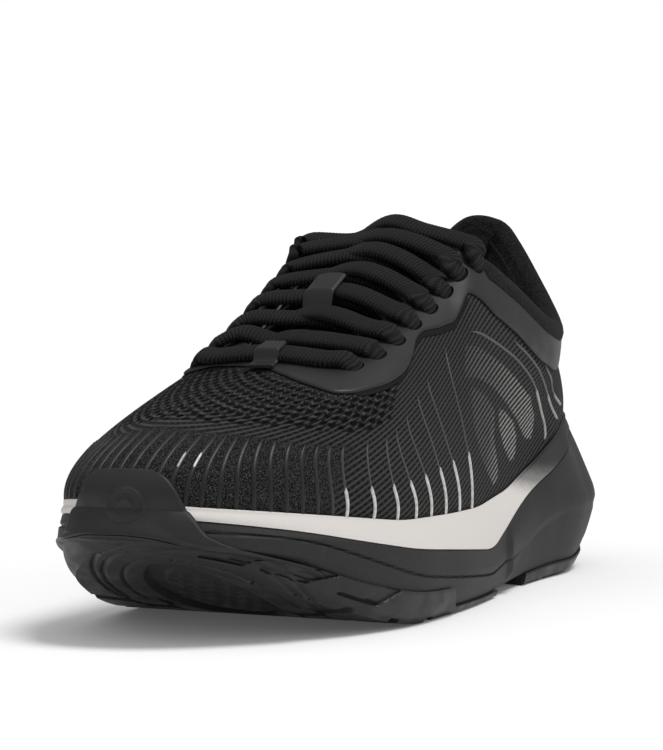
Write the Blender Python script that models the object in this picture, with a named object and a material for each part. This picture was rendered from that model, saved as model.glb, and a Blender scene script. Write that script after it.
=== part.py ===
"""A left running shoe: thick rocker sole, knitted upper, padded collar and laces, in separate pieces.

The row frame: toe towards -Y, heel towards +Y, lateral (outer) side towards +X, +Z up, ground at z = 0.
Everything above and beside the foot is placed in shoe coordinates:
    u  runs once round the shoe, 0 at the toe, 0.25 lateral, 0.5 at the heel, 0.75 medial;
    v  climbs the upper from the feather line (0, where it meets the sole) to the top line (1);
    h  climbs the sole's side, from the tread's edge (0) over the widest line (2) to the feather line (4);
    d  is the distance from that surface along its normal, positive outwards.
Pieces are layers in these coordinates, so neighbours keep their gaps wherever the shoe curves.
"""

import math

import bmesh
import bpy
import numpy as np
from mathutils import Matrix, Vector

MM = 0.001
GAP = 0.3 * MM

# The shoe bends at the ball of the foot. The pivot line is level with the insole board, which doesn't
# stretch.
FLEX_Y = -72 * MM
FLEX_Z = 30 * MM
FLEX_DEG = 20.0
FLEX_SPARE_DEG = 1.5

# The tongue swings about its sewn front edge.
TONGUE_HINGE = Vector((-2 * MM, -50 * MM, 68 * MM))

RING = 48  # points round the shoe on every closed ring
SOLE_REACH = 200 * MM  # a cutter this big reaches past the shoe on every side

# One row for each of 24 stations round the shoe, in mm: the feather line (x, y), the top line (x, y, z),
# how far the upper bulges out and up from the feather line, and how far it runs out and down from the top
# line.
STATIONS = (
    # feather      top line          out, up   out, down
    ((-8, -137), (-3, -41, 82), (3, 24), (38, 14)),  # toe tip, front of the throat
    ((12, -131), (7, -39, 82.5), (4, 24), (40, 14)),
    ((30, -114), (15, -33, 84), (5, 24), (38, 12)),
    ((42, -90), (19, -19, 88.5), (5, 24), (32, 10)),
    ((48, -62), (21, 0, 96), (4, 24), (22, 9)),  # lateral ball
    ((48, -34), (23, 20, 104), (3, 26), (18, 9)),
    ((46, -5), (27, 36, 113), (2, 28), (16, 14)),  # top of the lateral eyestay
    ((43, 22), (33, 56, 104), (1, 30), (13, 18)),
    ((40, 48), (37, 80, 91), (1, 24), (8, 18)),
    ((38, 74), (34, 102, 87), (1, 18), (3, 16)),  # lowest point of the collar
    ((36, 98), (22, 119, 97), (2, 14), (2, 14)),
    ((25, 124), (7, 129, 115), (3, 18), (3, 18)),
    ((0, 135), (-1, 132, 122), (4, 24), (4, 24)),  # heel
    ((-23, 125), (-14, 128, 121), (3, 18), (3, 18)),
    ((-33, 100), (-26, 118, 105), (2, 14), (2, 14)),
    ((-34, 75), (-34, 100, 89), (1, 18), (3, 16)),
    ((-33, 50), (-37, 78, 93), (1, 24), (8, 18)),
    ((-34, 24), (-34, 56, 106), (1, 28), (12, 18)),
    ((-38, -4), (-28, 37, 114), (1, 24), (13, 14)),  # top of the medial eyestay
    ((-43, -34), (-25, 20, 106), (2, 20), (13, 10)),
    ((-45, -62), (-23, 0, 98), (2, 17), (15, 10)),  # medial ball
    ((-43, -90), (-21, -20, 89.5), (3, 17), (20, 12)),
    ((-39, -113), (-18, -34, 84.5), (4, 17), (26, 13)),
    ((-26, -131), (-11, -40, 82.5), (4, 20), (31, 14)),
)

# Heights along the shoe, as (y, z) in mm.
FEATHER_Z = ((-145, 42), (-104, 37), (-61, 32), (-20, 30.5), (7, 30), (40, 33), (76, 42), (99, 50),
             (120, 54), (145, 57))
BAND_Z = ((-145, 34), (-104, 31), (-61, 24), (7, 17), (30, 24), (47, 30), (65, 35), (83, 41), (120, 50),
          (145, 53))
FLOOR_Z = ((-135, 40), (-120, 35), (-100, 30), (-61, 26), (-20, 27), (7, 27.5), (60, 32), (100, 34),
           (145, 35))
# How far the widest line stands out from the feather line, as (y, distance) in mm.
LATERAL_FLARE = ((-145, 4), (-90, 5.5), (-20, 7), (35, 4.5), (60, 5), (85, 9), (110, 12), (145, 10))
MEDIAL_FLARE = ((-145, 4), (-110, 2), (-60, 4), (-20, 4.5), (35, 3), (60, 4), (85, 7), (110, 10), (145, 10))

# The rocker: flat under the middle of the foot, sweeping up to the toe and a little at the heel.
TREAD_FLAT = (-50 * MM, 85 * MM)
TOE_SPRING, TOE_RUN, TOE_POWER = 35 * MM, 95 * MM, 1.7
HEEL_BEVEL, HEEL_RUN = 7 * MM, 60 * MM

RUBBER, TOE_THINNING = 3.5 * MM, 1.5 * MM  # tread thickness, and how much of it the toe loses
LIP = 1.3 * MM  # how far the rubber's turned-up edge stands out from the foam
CUSHION_LAYER = 4 * MM  # thickness of the pale upper midsole layer under the foot
FOREFOOT_END = 18 * MM
HEEL_PAD_START = 52 * MM
HEEL_SLOT = 8 * MM
KNIT = 1.6 * MM
FILM = 0.8 * MM
LINING = 0.7 * MM
STIFFENER = 1.2 * MM
BOARD = 1.5 * MM
FOOTBED = 4.5 * MM
COLLAR_PAD = 6 * MM
LACE_R = 2.2 * MM
# The tongue's middle line and half width, as (y, z, half width) in mm, from its sewn front edge to its top.
TONGUE_LINE = (
    (-50, 70, 13), (-36, 80, 17), (-18, 90, 20), (0, 99, 21), (18, 109, 20), (34, 114, 19), (44, 117, 18),
    (49, 120, 16)
)
TONGUE_X = -2 * MM
TONGUE_THICK = 4.5 * MM
TONGUE_FALL, TONGUE_CREST = 0.95, 8 * MM  # its upper face falls at this slope, away from a crest this wide
PATCH = 0.6 * MM
PATCH_Y, PATCH_HALF_WIDTH = (-9, 3), 9 * MM

# Eight lace holes on each side, as (u, v): the medial ones mirror the lateral ones.
EYELETS = tuple((0.097 + 0.0225 * k, 0.78 + 0.0145 * k) for k in range(8))
HOLE_R, HOLE_SHIFT = 4 * MM, 0.6 * MM

# The edges of the eyestay's film and of the strip behind it, as (u, v) pairs for the lateral side; the
# medial side mirrors them. The film narrows to the padded collar's lower edge behind the last lace hole.
FILM_EDGE = (
    (0, 0.88), (0.035, 0.82), (0.065, 0.72), (0.087, 0.64), (0.115, 0.61), (0.146, 0.63), (0.162, 0.74),
    (0.175, 0.76), (0.212, 0.71), (0.235, 0.76), (0.27, 0.70), (0.32, 0.69), (0.367, 0.64), (0.5, 0.62)
)
FILM_TOP = ((0, 1.0), (0.245, 1.0), (0.27, 0.84), (0.35, 0.88), (0.5, 0.88))
BACKER_EDGE = ((0.07, 0.68), (0.14, 0.66), (0.17, 0.72), (0.27, 0.74))
BACKER_COLUMNS = np.arange(4, 14)  # of the RING columns round the shoe

# The strap over the lace's front bar: its reach in u and v, and the bar's own v at the middle of the throat.
KEEPER_U, KEEPER_V, KEEPER_THICK = (-0.028, 0.022), (0.86, 0.995), 0.9 * MM
BAR_V = 0.935

BLACK_KNIT = (0.012, 0.012, 0.013)
BLACK_FOAM = (0.020, 0.020, 0.021)
BLACK_RUBBER = (0.016, 0.016, 0.017)
GREY_FILM = (0.035, 0.035, 0.035)
OFF_WHITE = (0.62, 0.60, 0.57)
BOARD_GREY = (0.30, 0.30, 0.30)


def clear_scene():
    for obj in list(bpy.data.objects):
        bpy.data.objects.remove(obj, do_unlink=True)


def material(name, colour, roughness, metallic=0.0):
    found = bpy.data.materials.get(name)
    if found:
        return found
    made = bpy.data.materials.new(name)
    made.use_nodes = True
    shader = made.node_tree.nodes["Principled BSDF"]
    shader.inputs["Base Color"].default_value = (*colour, 1.0)
    shader.inputs["Roughness"].default_value = roughness
    shader.inputs["Metallic"].default_value = metallic
    return made


# ---------------------------------------------------------------- the shoe's form


def closed_spline(points, u):
    """Points on the closed Catmull-Rom curve through these points, at u from 0 to 1."""
    points = np.asarray(points, float)
    count = len(points)
    t = (np.asarray(u, float) % 1.0) * count
    i = np.floor(t).astype(int)
    f = (t - i)[:, None]
    p0, p1, p2, p3 = (points[(i + k) % count] for k in (-1, 0, 1, 2))
    return 0.5 * (
        2 * p1 + (p2 - p0) * f + (2 * p0 - 5 * p1 + 4 * p2 - p3) * f**2 + (3 * p1 - p0 - 3 * p2 + p3) * f**3
    )


def along(table, y):
    """The height or distance, in metres, that a table in mm gives at y in metres."""
    ys, values = np.array(table, float).T * MM
    return np.interp(y, ys, values)


def smooth(t):
    t = np.clip(t, 0.0, 1.0)
    return t * t * (3 - 2 * t)


def feather(u):
    """The feather line as (x, y) and its outward direction."""
    points = np.array([s[0] for s in STATIONS]) * MM
    step = 1e-3
    flat = closed_spline(points, u)
    run = closed_spline(points, u + step) - closed_spline(points, u - step)
    out = np.column_stack([run[:, 1], -run[:, 0]])
    return flat, out / np.linalg.norm(out, axis=1)[:, None]


def tread_z(y):
    toe = np.clip((TREAD_FLAT[0] - y) / TOE_RUN, 0, None)
    heel = np.clip((y - TREAD_FLAT[1]) / HEEL_RUN, 0, None)
    return TOE_SPRING * toe**TOE_POWER + HEEL_BEVEL * heel**2


def rubber(y):
    """The tread's thickness, thinner at the toe."""
    return RUBBER - TOE_THINNING * smooth((-y / MM - 90) / 40)


def side_of(x):
    """1 on the lateral side, 0 on the medial side, easing over at the toe and heel."""
    return smooth((x / MM + 8) / 16)


def wall(u, height, d=0.0):
    """A ring of points on the sole's side wall at height h, moved out by d."""
    u = np.asarray(u, float)
    flat, out = feather(u)
    lateral = side_of(flat[:, 0])
    flare = lateral * along(LATERAL_FLARE, flat[:, 1]) + (1 - lateral) * along(MEDIAL_FLARE, flat[:, 1])
    toe = smooth((-flat[:, 1] / MM - 80) / 50)
    heel = smooth((flat[:, 1] / MM - 70) / 40)
    # For each level: the share of the flare that remains, and the height.
    rim = along(FEATHER_Z, flat[:, 1])
    band = along(BAND_Z, flat[:, 1])
    foot = 0.25 - 1.9 * toe
    tread = tread_z(flat[:, 1] + out[:, 1] * flare * foot)
    wide = tread + (band - tread) * (0.62 + 0.1 * toe - 0.12 * heel)
    levels = (
        (foot, tread),
        (0.72 - 0.6 * toe, tread + (0.45 + 0.4 * toe) * (wide - tread)),
        (1.0 + 0 * toe, wide),
        (0.86 - 0.66 * heel, band),
        (0.10 + 0 * toe, rim),
    )
    share = np.array([np.broadcast_to(s, u.shape) for s, _ in levels])
    z = np.array([np.broadcast_to(z, u.shape) for _, z in levels])
    at = np.clip(np.broadcast_to(np.asarray(height, float), u.shape), 0, 4)
    low = np.minimum(at.astype(int), 3)
    part = at - low
    index = np.arange(len(u))
    s = share[low, index] * (1 - part) + share[low + 1, index] * part
    level = z[low, index] * (1 - part) + z[low + 1, index] * part
    return np.column_stack([flat + out * (flare * s + d)[:, None], level])


def upper(u, v):
    """Points on the upper's outer face for arrays u and v of one length."""
    u, v = np.asarray(u, float), np.asarray(v, float)
    flat, out = feather(u)
    foot = np.column_stack([flat, along(FEATHER_Z, flat[:, 1])])
    top = closed_spline(np.array([s[1] for s in STATIONS]) * MM, u)
    rise = closed_spline(np.array([s[2] for s in STATIONS]) * MM, u)
    fall = closed_spline(np.array([s[3] for s in STATIONS]) * MM, u)
    spread = (foot - top)[:, :2]
    spread = spread / np.linalg.norm(spread, axis=1)[:, None] + out
    spread = spread / np.linalg.norm(spread, axis=1)[:, None]
    p1 = foot + np.column_stack([out * rise[:, :1], rise[:, 1]])
    p2 = top + np.column_stack([spread * fall[:, :1], -fall[:, 1]])
    v = v[:, None]
    return (1 - v) ** 3 * foot + 3 * (1 - v) ** 2 * v * p1 + 3 * (1 - v) * v**2 * p2 + v**3 * top


def layer(u, v, d):
    """Points of the upper moved by d along its outward normal."""
    u, v = np.asarray(u, float), np.asarray(v, float)
    step = 2e-3
    across = upper(u + step, v) - upper(u - step, v)
    climb = upper(u, v + step) - upper(u, v - step)
    normal = np.cross(across, climb)
    normal /= np.linalg.norm(normal, axis=1)[:, None]
    return upper(u, v) + normal * np.broadcast_to(d, u.shape)[:, None]


# ---------------------------------------------------------------- mesh helpers


def add_object(name, mesh, finish):
    obj = bpy.data.objects.new(name, mesh)
    bpy.context.scene.collection.objects.link(obj)
    mesh.materials.append(finish)
    return obj


def finished(name, bm, finish):
    """Turns a closed bmesh into an object, faces pointing out and shaded smooth."""
    bmesh.ops.recalc_face_normals(bm, faces=bm.faces)
    mesh = bpy.data.meshes.new(name)
    bm.to_mesh(mesh)
    bm.free()
    mesh.shade_smooth()
    mesh.set_sharp_from_angle(angle=math.radians(40))
    return add_object(name, mesh, finish)


def add_quad(bm, a, b, c, d):
    """Two triangles over the corners a, b, c, d, split along the shorter diagonal, as in every neighbouring
    layer."""
    if (a.co - c.co).length_squared <= (b.co - d.co).length_squared:
        bm.faces.new((a, b, c))
        bm.faces.new((a, c, d))
    else:
        bm.faces.new((a, b, d))
        bm.faces.new((b, c, d))


def ladder_cap(bm, ring):
    """Closes a ring that runs round the shoe with faces from each lateral point to its medial twin."""
    count = len(ring)
    for i in range(count // 2):
        corners = [ring[i], ring[i + 1], ring[(count - i - 1) % count], ring[(count - i) % count]]
        bm.faces.new(list(dict.fromkeys(corners)))


def loft(name, rings, finish):
    """A closed solid through rings that run round the shoe, capped at the first and the last."""
    bm = bmesh.new()
    made = [[bm.verts.new(p) for p in ring] for ring in rings]
    for low, high in zip(made, made[1:]):
        for i in range(len(low)):
            j = (i + 1) % len(low)
            add_quad(bm, low[i], low[j], high[j], high[i])
    ladder_cap(bm, made[0])
    ladder_cap(bm, made[-1])
    return finished(name, bm, finish)


def grid_solid(name, outer, inner, finish, closed):
    """A closed solid between two grids of points with the same shape; closed joins the last column to the
    first."""
    rows, columns = outer.shape[:2]
    bm = bmesh.new()
    skins = [[[bm.verts.new(p) for p in row] for row in grid] for grid in (outer, inner)]
    last = columns if closed else columns - 1
    for skin in skins:
        for r in range(rows - 1):
            for c in range(last):
                n = (c + 1) % columns
                add_quad(bm, skin[r][c], skin[r][n], skin[r + 1][n], skin[r + 1][c])
    for r in (0, rows - 1):
        for c in range(last):
            n = (c + 1) % columns
            add_quad(bm, skins[0][r][c], skins[0][r][n], skins[1][r][n], skins[1][r][c])
    if not closed:
        for c in (0, columns - 1):
            for r in range(rows - 1):
                add_quad(bm, skins[0][r][c], skins[0][r + 1][c], skins[1][r + 1][c], skins[1][r][c])
    return finished(name, bm, finish)


def shell(name, us, v_low, v_high, d_out, d_in, rows, finish, closed=False):
    """A layer of the upper: between v_low and v_high, which may vary with u, and between the depths d_out
    and d_in."""
    us = np.asarray(us, float)
    v_low, v_high = np.broadcast_to(v_low, us.shape), np.broadcast_to(v_high, us.shape)
    skins = []
    for depth in (d_out, d_in):
        grid = []
        for t in np.linspace(0, 1, rows):
            v = v_low + (v_high - v_low) * t
            grid.append(layer(us, v, depth(us, v) if callable(depth) else depth))
        skins.append(np.array(grid))
    return grid_solid(name, skins[0], skins[1], finish, closed)


def boolean(obj, cutter, operation="DIFFERENCE"):
    made = obj.modifiers.new("cut", "BOOLEAN")
    made.object = cutter
    made.operation = operation
    return obj


def helper(obj):
    obj.hide_render = True
    obj.display_type = "WIRE"
    return obj


# ---------------------------------------------------------------- the bend at the ball of the foot


def prism(name, outline, half_width):
    """A block across the shoe with this outline of (y, z) points, used to cut."""
    bm = bmesh.new()
    face = bm.faces.new([bm.verts.new((-half_width, y, z)) for y, z in outline])
    swept = bmesh.ops.extrude_face_region(bm, geom=[face])
    moved = [g for g in swept["geom"] if isinstance(g, bmesh.types.BMVert)]
    bmesh.ops.translate(bm, verts=moved, vec=(2 * half_width, 0, 0))
    bmesh.ops.recalc_face_normals(bm, faces=bm.faces)
    mesh = bpy.data.meshes.new(name)
    bm.to_mesh(mesh)
    bm.free()
    obj = bpy.data.objects.new(name, mesh)
    bpy.context.scene.collection.objects.link(obj)
    return helper(obj)


def hang_on_axis(name, place, pieces):
    """Parents the pieces of one moving body to an empty on the axis of its joint."""
    axis = bpy.data.objects.new(name, None)
    axis.location = place
    bpy.context.scene.collection.objects.link(axis)
    for piece in pieces:
        piece.parent = axis
        piece.matrix_parent_inverse = Matrix.Translation(place).inverted()


def flex_cutters():
    """What is cut from a rear piece (everything in front of the bend) and from a front piece. Above the
    pivot line the front pieces lean away, so that the toe can rise without meeting the rear ones."""
    far, top, below = SOLE_REACH, SOLE_REACH, -SOLE_REACH
    lean = math.tan(math.radians(FLEX_DEG + FLEX_SPARE_DEG)) * (top - FLEX_Z)
    rear_face, front_face = FLEX_Y + GAP / 2, FLEX_Y - GAP / 2
    ahead = ((-far, below), (rear_face, below), (rear_face, top), (-far, top))
    behind = ((front_face, below), (far, below), (far, top), (front_face - lean, top), (front_face, FLEX_Z))
    return prism("cut_ahead", ahead, SOLE_REACH), prism("cut_behind", behind, SOLE_REACH)


def split_at_bend(obj, cutters):
    """Makes obj the rear half of a flexible piece and adds its front half; both keep the piece's name."""
    ahead, behind = cutters
    front = obj.copy()
    front.data = obj.data.copy()
    bpy.context.scene.collection.objects.link(front)
    name = obj.name
    obj.name, front.name = name + "_rear", name + "_front"
    boolean(obj, ahead)
    boolean(front, behind)
    return obj, front


# ---------------------------------------------------------------- the sole


def ring_u():
    return np.arange(RING) / RING


def inset_ring(distance, z_table, lift=0.0):
    """A ring inside the feather line, at the height that a table gives."""
    flat, out = feather(ring_u())
    flat = flat - out * distance
    return np.column_stack([flat, along(z_table, flat[:, 1]) + lift])


def under_cushion_rings(drop):
    """The face between the two midsole layers, from its outer edge inwards."""
    u = ring_u()
    edge = wall(u, 3.0)
    edge[:, 2] -= drop
    rim = inset_ring(1.0 * MM, FLOOR_Z, 2 * MM - drop)
    rim[:, 2] = np.minimum(rim[:, 2], edge[:, 2] - 1.0 * MM)
    return [edge, rim, inset_ring(8 * MM, FLOOR_Z, -CUSHION_LAYER - drop)]


def midsole_cushion():
    """The pale upper layer: a tray under and round the foot."""
    u = ring_u()
    rings = under_cushion_rings(0.0)[::-1]
    rings += [wall(u, 3.4), wall(u, 3.75), wall(u, 4.0)]
    rings += [inset_ring(2.6 * MM, FEATHER_Z, -0.4 * MM), inset_ring(3.6 * MM, FLOOR_Z, 0.0)]
    return loft("midsole_cushion", rings, material("pale_foam", OFF_WHITE, 0.6))


def midsole_base():
    """The black lower layer: the rocker, with the flared heel cup."""
    u = ring_u()
    floor = wall(u, 0.45)
    floor[:, 2] = tread_z(floor[:, 1]) + rubber(floor[:, 1]) + 2 * GAP
    rings = [floor] + [wall(u, h) for h in (1.0, 1.5, 2.0, 2.5)]
    rings += under_cushion_rings(2 * GAP)
    return loft("midsole_base", rings, material("black_foam", BLACK_FOAM, 0.55))


def outsole_rings():
    """The rubber tread as a full-length slab, turned up at its edge, to be cut into its pads."""
    u = ring_u()
    low = wall(u, 0.0)
    side = [wall(u, 0.3, 0.8 * MM), wall(u, 1.0, LIP), wall(u, 1.5, LIP)]
    inside = [wall(u, 1.5, GAP), wall(u, 1.0, GAP)]
    top = wall(u, 0.45, GAP)
    top[:, 2] = tread_z(top[:, 1]) + rubber(top[:, 1])
    return [low, *side, *inside, top]


def toe_guard():
    """The rubber that climbs the front of the shoe, as a shell outside the sole and the upper's toe."""
    span = np.arange(-4, 4) / RING
    rise = 1 - np.abs(np.linspace(-1, 1, len(span))) ** 4
    skins = []
    for d in (2.6 * MM, 1.5 * GAP):
        rows = [wall(span, height, d) for height in (1.2, 1.5, 2.0, 2.5, 3.0, 3.4, 3.75, 4.0)]
        rows += [layer(span, v * rise, d) for v in (0.05, 0.10)]
        skins.append(np.array(rows))
    return grid_solid("cut_toe_guard", skins[0], skins[1], material("black_rubber", BLACK_RUBBER, 0.5),
                      closed=False)


def box(name, low, high):
    bm = bmesh.new()
    bmesh.ops.create_cube(bm, size=1.0)
    low, high = Vector(low), Vector(high)
    placed = Matrix.Translation((low + high) / 2) @ Matrix.Diagonal((*(high - low), 1))
    bmesh.ops.transform(bm, matrix=placed, verts=bm.verts)
    mesh = bpy.data.meshes.new(name)
    bm.to_mesh(mesh)
    bm.free()
    obj = bpy.data.objects.new(name, mesh)
    bpy.context.scene.collection.objects.link(obj)
    return helper(obj)


def tread_pad(name, y_low, y_high, x_low=-SOLE_REACH, x_high=SOLE_REACH):
    """The part of the tread slab inside this box, as one pad."""
    pad = loft(name, outsole_rings(), material("black_rubber", BLACK_RUBBER, 0.5))
    keep = box("keep_" + name, (x_low, y_low, -SOLE_REACH), (x_high, y_high, SOLE_REACH))
    boolean(pad, keep, "INTERSECT")
    return pad


def outsole(cutters):
    """The forefoot pad with its wrapped toe and the two heel pads. It gives the half in front of the bend."""
    forefoot = tread_pad("outsole_forefoot", -SOLE_REACH, FOREFOOT_END)
    _, front = split_at_bend(forefoot, cutters)
    boolean(front, helper(toe_guard()), "UNION")
    tread_pad("outsole_heel_lateral", HEEL_PAD_START, SOLE_REACH, x_low=HEEL_SLOT / 2)
    tread_pad("outsole_heel_medial", HEEL_PAD_START, SOLE_REACH, x_high=-HEEL_SLOT / 2)
    return front


# ---------------------------------------------------------------- what the foot stands on


def foot_layer(name, inset, low, thickness, finish):
    """A flat layer that follows the midsole's floor."""
    rings = [inset_ring(inset, FLOOR_Z, low), inset_ring(inset, FLOOR_Z, low + thickness)]
    return loft(name, rings, finish)


# ---------------------------------------------------------------- the upper's layers


def padding(u, v):
    """The thickness that the collar's foam adds."""
    round_heel = smooth((u - 0.26) / 0.07) * smooth((0.74 - u) / 0.07)
    return COLLAR_PAD * round_heel * smooth((v - 0.55) / 0.25) * (1 - 0.5 * smooth((v - 0.85) / 0.15))


def mirrored_edge(table, u):
    """A v for each u, the same at u and 1 - u, from (u, v) pairs."""
    folded = np.minimum(u % 1.0, 1 - u % 1.0)
    return np.interp(folded, *np.array(table).T)


KNIT_IN = KNIT + 2 * GAP
FILM_OUT = 1.5 * GAP + FILM
LINING_OUT = KNIT_IN + STIFFENER + 4 * GAP


def toe_puff():
    return shell("toe_puff", np.arange(-5, 6) / RING, 0.05, 0.26, -KNIT_IN - GAP,
                 -KNIT_IN - GAP - STIFFENER, 5,
                 material("stiffener", BOARD_GREY, 0.7))


def heel_counter():
    return shell("heel_counter", np.arange(17, 32) / RING, 0.06, 0.5, -KNIT_IN, -KNIT_IN - STIFFENER, 6,
                 material("stiffener", BOARD_GREY, 0.7))


def collar_foam():
    return shell("collar_foam", np.arange(14, 35) / RING, 0.56, 0.96, -KNIT_IN,
                 lambda u, v: -KNIT_IN - STIFFENER - padding(u, v), 6,
                 material("black_foam", BLACK_FOAM, 0.8))


def lining():
    u = ring_u()
    top = mirrored_edge(((0, 0.60), (0.10, 0.60), (0.25, 0.66), (0.30, 0.97)), u)
    return shell("lining", u, 0.07, top, lambda u, v: -LINING_OUT - padding(u, v),
                 lambda u, v: -LINING_OUT - LINING - padding(u, v), 8, material("lining", BLACK_KNIT, 0.9),
                 closed=True)


def overlay_film():
    u = np.arange(-21, 22) / RING
    low, high = mirrored_edge(FILM_EDGE, u), mirrored_edge(FILM_TOP, u)
    return shell("eyestay_overlay", u, low, high, FILM_OUT, FILM_OUT - FILM, 5,
                 material("film", GREY_FILM, 0.5))


def eyelet_backer(name, u):
    return shell(name, u, mirrored_edge(BACKER_EDGE, u), 0.975, -KNIT_IN, -KNIT_IN - FILM, 4,
                 material("stiffener", BOARD_GREY, 0.7))


def heel_tab():
    return shell("heel_tab", np.arange(22, 27) / RING, 0.5, 1.0, FILM_OUT, FILM_OUT - FILM, 6,
                 material("film", GREY_FILM, 0.5))


# ---------------------------------------------------------------- laces


def hole_frame(hole):
    """The place of a lace hole, the normal there, and the direction across the eyestay to the throat."""
    u, v = hole
    at, above, edge = (Vector(layer([u], [w], d)[0]) for w, d in ((v, 0), (v, MM), (1.0, 0)))
    normal = (above - at).normalized()
    inward = (edge - at) - (edge - at).dot(normal) * normal
    return at, normal, inward.normalized()


def medial(hole):
    return 1 - hole[0], hole[1]


def lace_holes():
    """One round cutter for each lace hole, as one object."""
    bm = bmesh.new()
    for hole in EYELETS + tuple(medial(hole) for hole in EYELETS):
        at, normal, inward = hole_frame(hole)
        turned = normal.to_track_quat("Z", "Y").to_matrix().to_4x4()
        placed = Matrix.Translation(at + inward * HOLE_SHIFT) @ turned
        bmesh.ops.create_cone(
            bm, cap_ends=True, segments=8, radius1=HOLE_R, radius2=HOLE_R, depth=14 * MM, matrix=placed
        )
    mesh = bpy.data.meshes.new("cut_lace_holes")
    bm.to_mesh(mesh)
    bm.free()
    obj = bpy.data.objects.new("cut_lace_holes", mesh)
    bpy.context.scene.collection.objects.link(obj)
    return helper(obj)


LACE_OVER = FILM_OUT + GAP + LACE_R
LACE_UNDER = -(KNIT_IN + FILM + 2 * GAP + LACE_R)


def turn_down(hole):
    """The lace's path from above the eyestay, through the hole, to below it."""
    at, normal, inward = hole_frame(hole)
    middle, radius = (LACE_OVER + LACE_UNDER) / 2, (LACE_OVER - LACE_UNDER) / 2
    path = []
    for angle in np.radians((0, 40, 90, 140, 180)):
        across = inward * radius * (1 - math.sin(angle))
        path.append(at + normal * (middle + radius * math.cos(angle)) + across)
    return path


def tongue_z(x, y):
    """The height of the tongue's upper face."""
    ys, zs, _ = np.array(TONGUE_LINE, float).T * MM
    return np.interp(y, ys, zs) - TONGUE_FALL * (np.hypot(x - TONGUE_X, TONGUE_CREST) - TONGUE_CREST)


def strand(k, lateral):
    """From under the hole k on one side, over the throat, down through hole k + 1 on the other side."""
    start, end = EYELETS[k], medial(EYELETS[k + 1])
    if not lateral:
        start, end = medial(start), medial(end)
    under = Vector(layer([start[0]], [1.0], LACE_UNDER)[0])
    over = Vector(layer([end[0]], [1.0], LACE_OVER)[0])
    cross_y = (under.y + over.y) / 2
    lift = 3 * PATCH + 3 * GAP + 1.2 * (LACE_R if lateral else 3 * LACE_R + GAP)
    crossing = Vector((TONGUE_X, cross_y, tongue_z(TONGUE_X, cross_y) + lift))
    return [under, crossing, over] + turn_down(end)


def tail(hole):
    """The lace's end, tucked between the collar and the tongue."""
    side = 1 if hole[0] < 0.5 else -1
    steps = ((0.012, 0.90, 9), (0.03, 0.84, 11), (0.05, 0.78, 12))
    return [Vector(layer([hole[0] + side * du], [v], -depth * MM)[0]) for du, v, depth in steps]


def lace_path():
    """The whole lace, from its medial end, down to the front bar and back up to its lateral end."""
    sides = []
    for lateral in (True, False):
        path = turn_down(EYELETS[0] if lateral else medial(EYELETS[0]))
        for k in range(len(EYELETS) - 1):
            path += strand(k, lateral if k % 2 == 0 else not lateral)
        ends_lateral = lateral if (len(EYELETS) - 1) % 2 == 0 else not lateral
        sides.append(path + tail(EYELETS[-1] if ends_lateral else medial(EYELETS[-1])))
    share = np.linspace(-0.7, 0.7, 5)
    u = share * EYELETS[0][0]
    v = BAR_V + (EYELETS[0][1] - BAR_V) * share**2
    bar = [Vector(p) for p in layer(u, v, LACE_OVER)]
    return sides[1][::-1] + bar + sides[0]


def smooth_path(points, step):
    """Points about this far apart on the open Catmull-Rom curve through these points."""
    points = [2 * points[0] - points[1]] + points + [2 * points[-1] - points[-2]]
    path = []
    for p0, p1, p2, p3 in zip(points, points[1:], points[2:], points[3:]):
        pieces = max(1, round((p2 - p1).length / step))
        for k in range(pieces):
            f = k / pieces
            path.append(0.5 * (2 * p1 + (p2 - p0) * f + (2 * p0 - 5 * p1 + 4 * p2 - p3) * f**2
                               + (3 * p1 - p0 - 3 * p2 + p3) * f**3))
    return path + [points[-2]]


def tube(name, path, radius, sides, finish):
    """A round cord along a path, its section carried along without twist."""
    bm = bmesh.new()
    across = (path[1] - path[0]).orthogonal().normalized()
    rings = []
    for i, point in enumerate(path):
        run = (path[min(i + 1, len(path) - 1)] - path[max(i - 1, 0)]).normalized()
        across = (across - across.dot(run) * run).normalized()
        other = run.cross(across)
        rings.append([
            bm.verts.new(point + radius * (math.cos(a) * across + math.sin(a) * other))
            for a in (2 * math.pi * k / sides for k in range(sides))
        ])
    for low, high in zip(rings, rings[1:]):
        for i in range(sides):
            j = (i + 1) % sides
            bm.faces.new((low[i], low[j], high[j], high[i]))
    bm.faces.new(rings[0])
    bm.faces.new(rings[-1])
    return finished(name, bm, finish)


def laces():
    path = smooth_path(lace_path(), 8 * MM)
    tip = 12 * MM
    ends = []
    for end in (path, path[::-1]):
        along_end = (end[0] - end[1]).normalized()
        ends.append([end[0] + along_end * GAP, end[0] + along_end * tip])
    tube("lace", path, LACE_R, 7, material("lace", BLACK_KNIT, 0.9))
    for name, end in zip(("aglet_medial", "aglet_lateral"), ends):
        tube(name, end, 0.6 * LACE_R, 8, material("aglet", BLACK_RUBBER, 0.3))


# ---------------------------------------------------------------- tongue


def tongue_grid(depth, line):
    """Rows of points across the tongue, this far below its upper face; line holds (y, half width) pairs."""
    rows = []
    for y, half_width in line:
        x = TONGUE_X + np.linspace(-1, 1, 9) * half_width
        rows.append(np.column_stack([x, y + 0 * x, tongue_z(x, y + 0 * x) - depth]))
    return np.array(rows)


def tongue():
    line = [(y * MM, width * MM) for y, _, width in TONGUE_LINE]
    finish = material("tongue", BLACK_KNIT, 0.9)
    return grid_solid("tongue", tongue_grid(0.0, line), tongue_grid(TONGUE_THICK, line), finish, closed=False)


def tongue_patch():
    """A smooth patch welded on the middle of the tongue, under the laces."""
    line = [(y * MM, PATCH_HALF_WIDTH) for y in np.linspace(*PATCH_Y, 4)]
    finish = material("film", GREY_FILM, 0.5)
    return grid_solid("tongue_patch", tongue_grid(-GAP - PATCH, line), tongue_grid(-GAP, line), finish,
                      closed=False)


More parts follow.
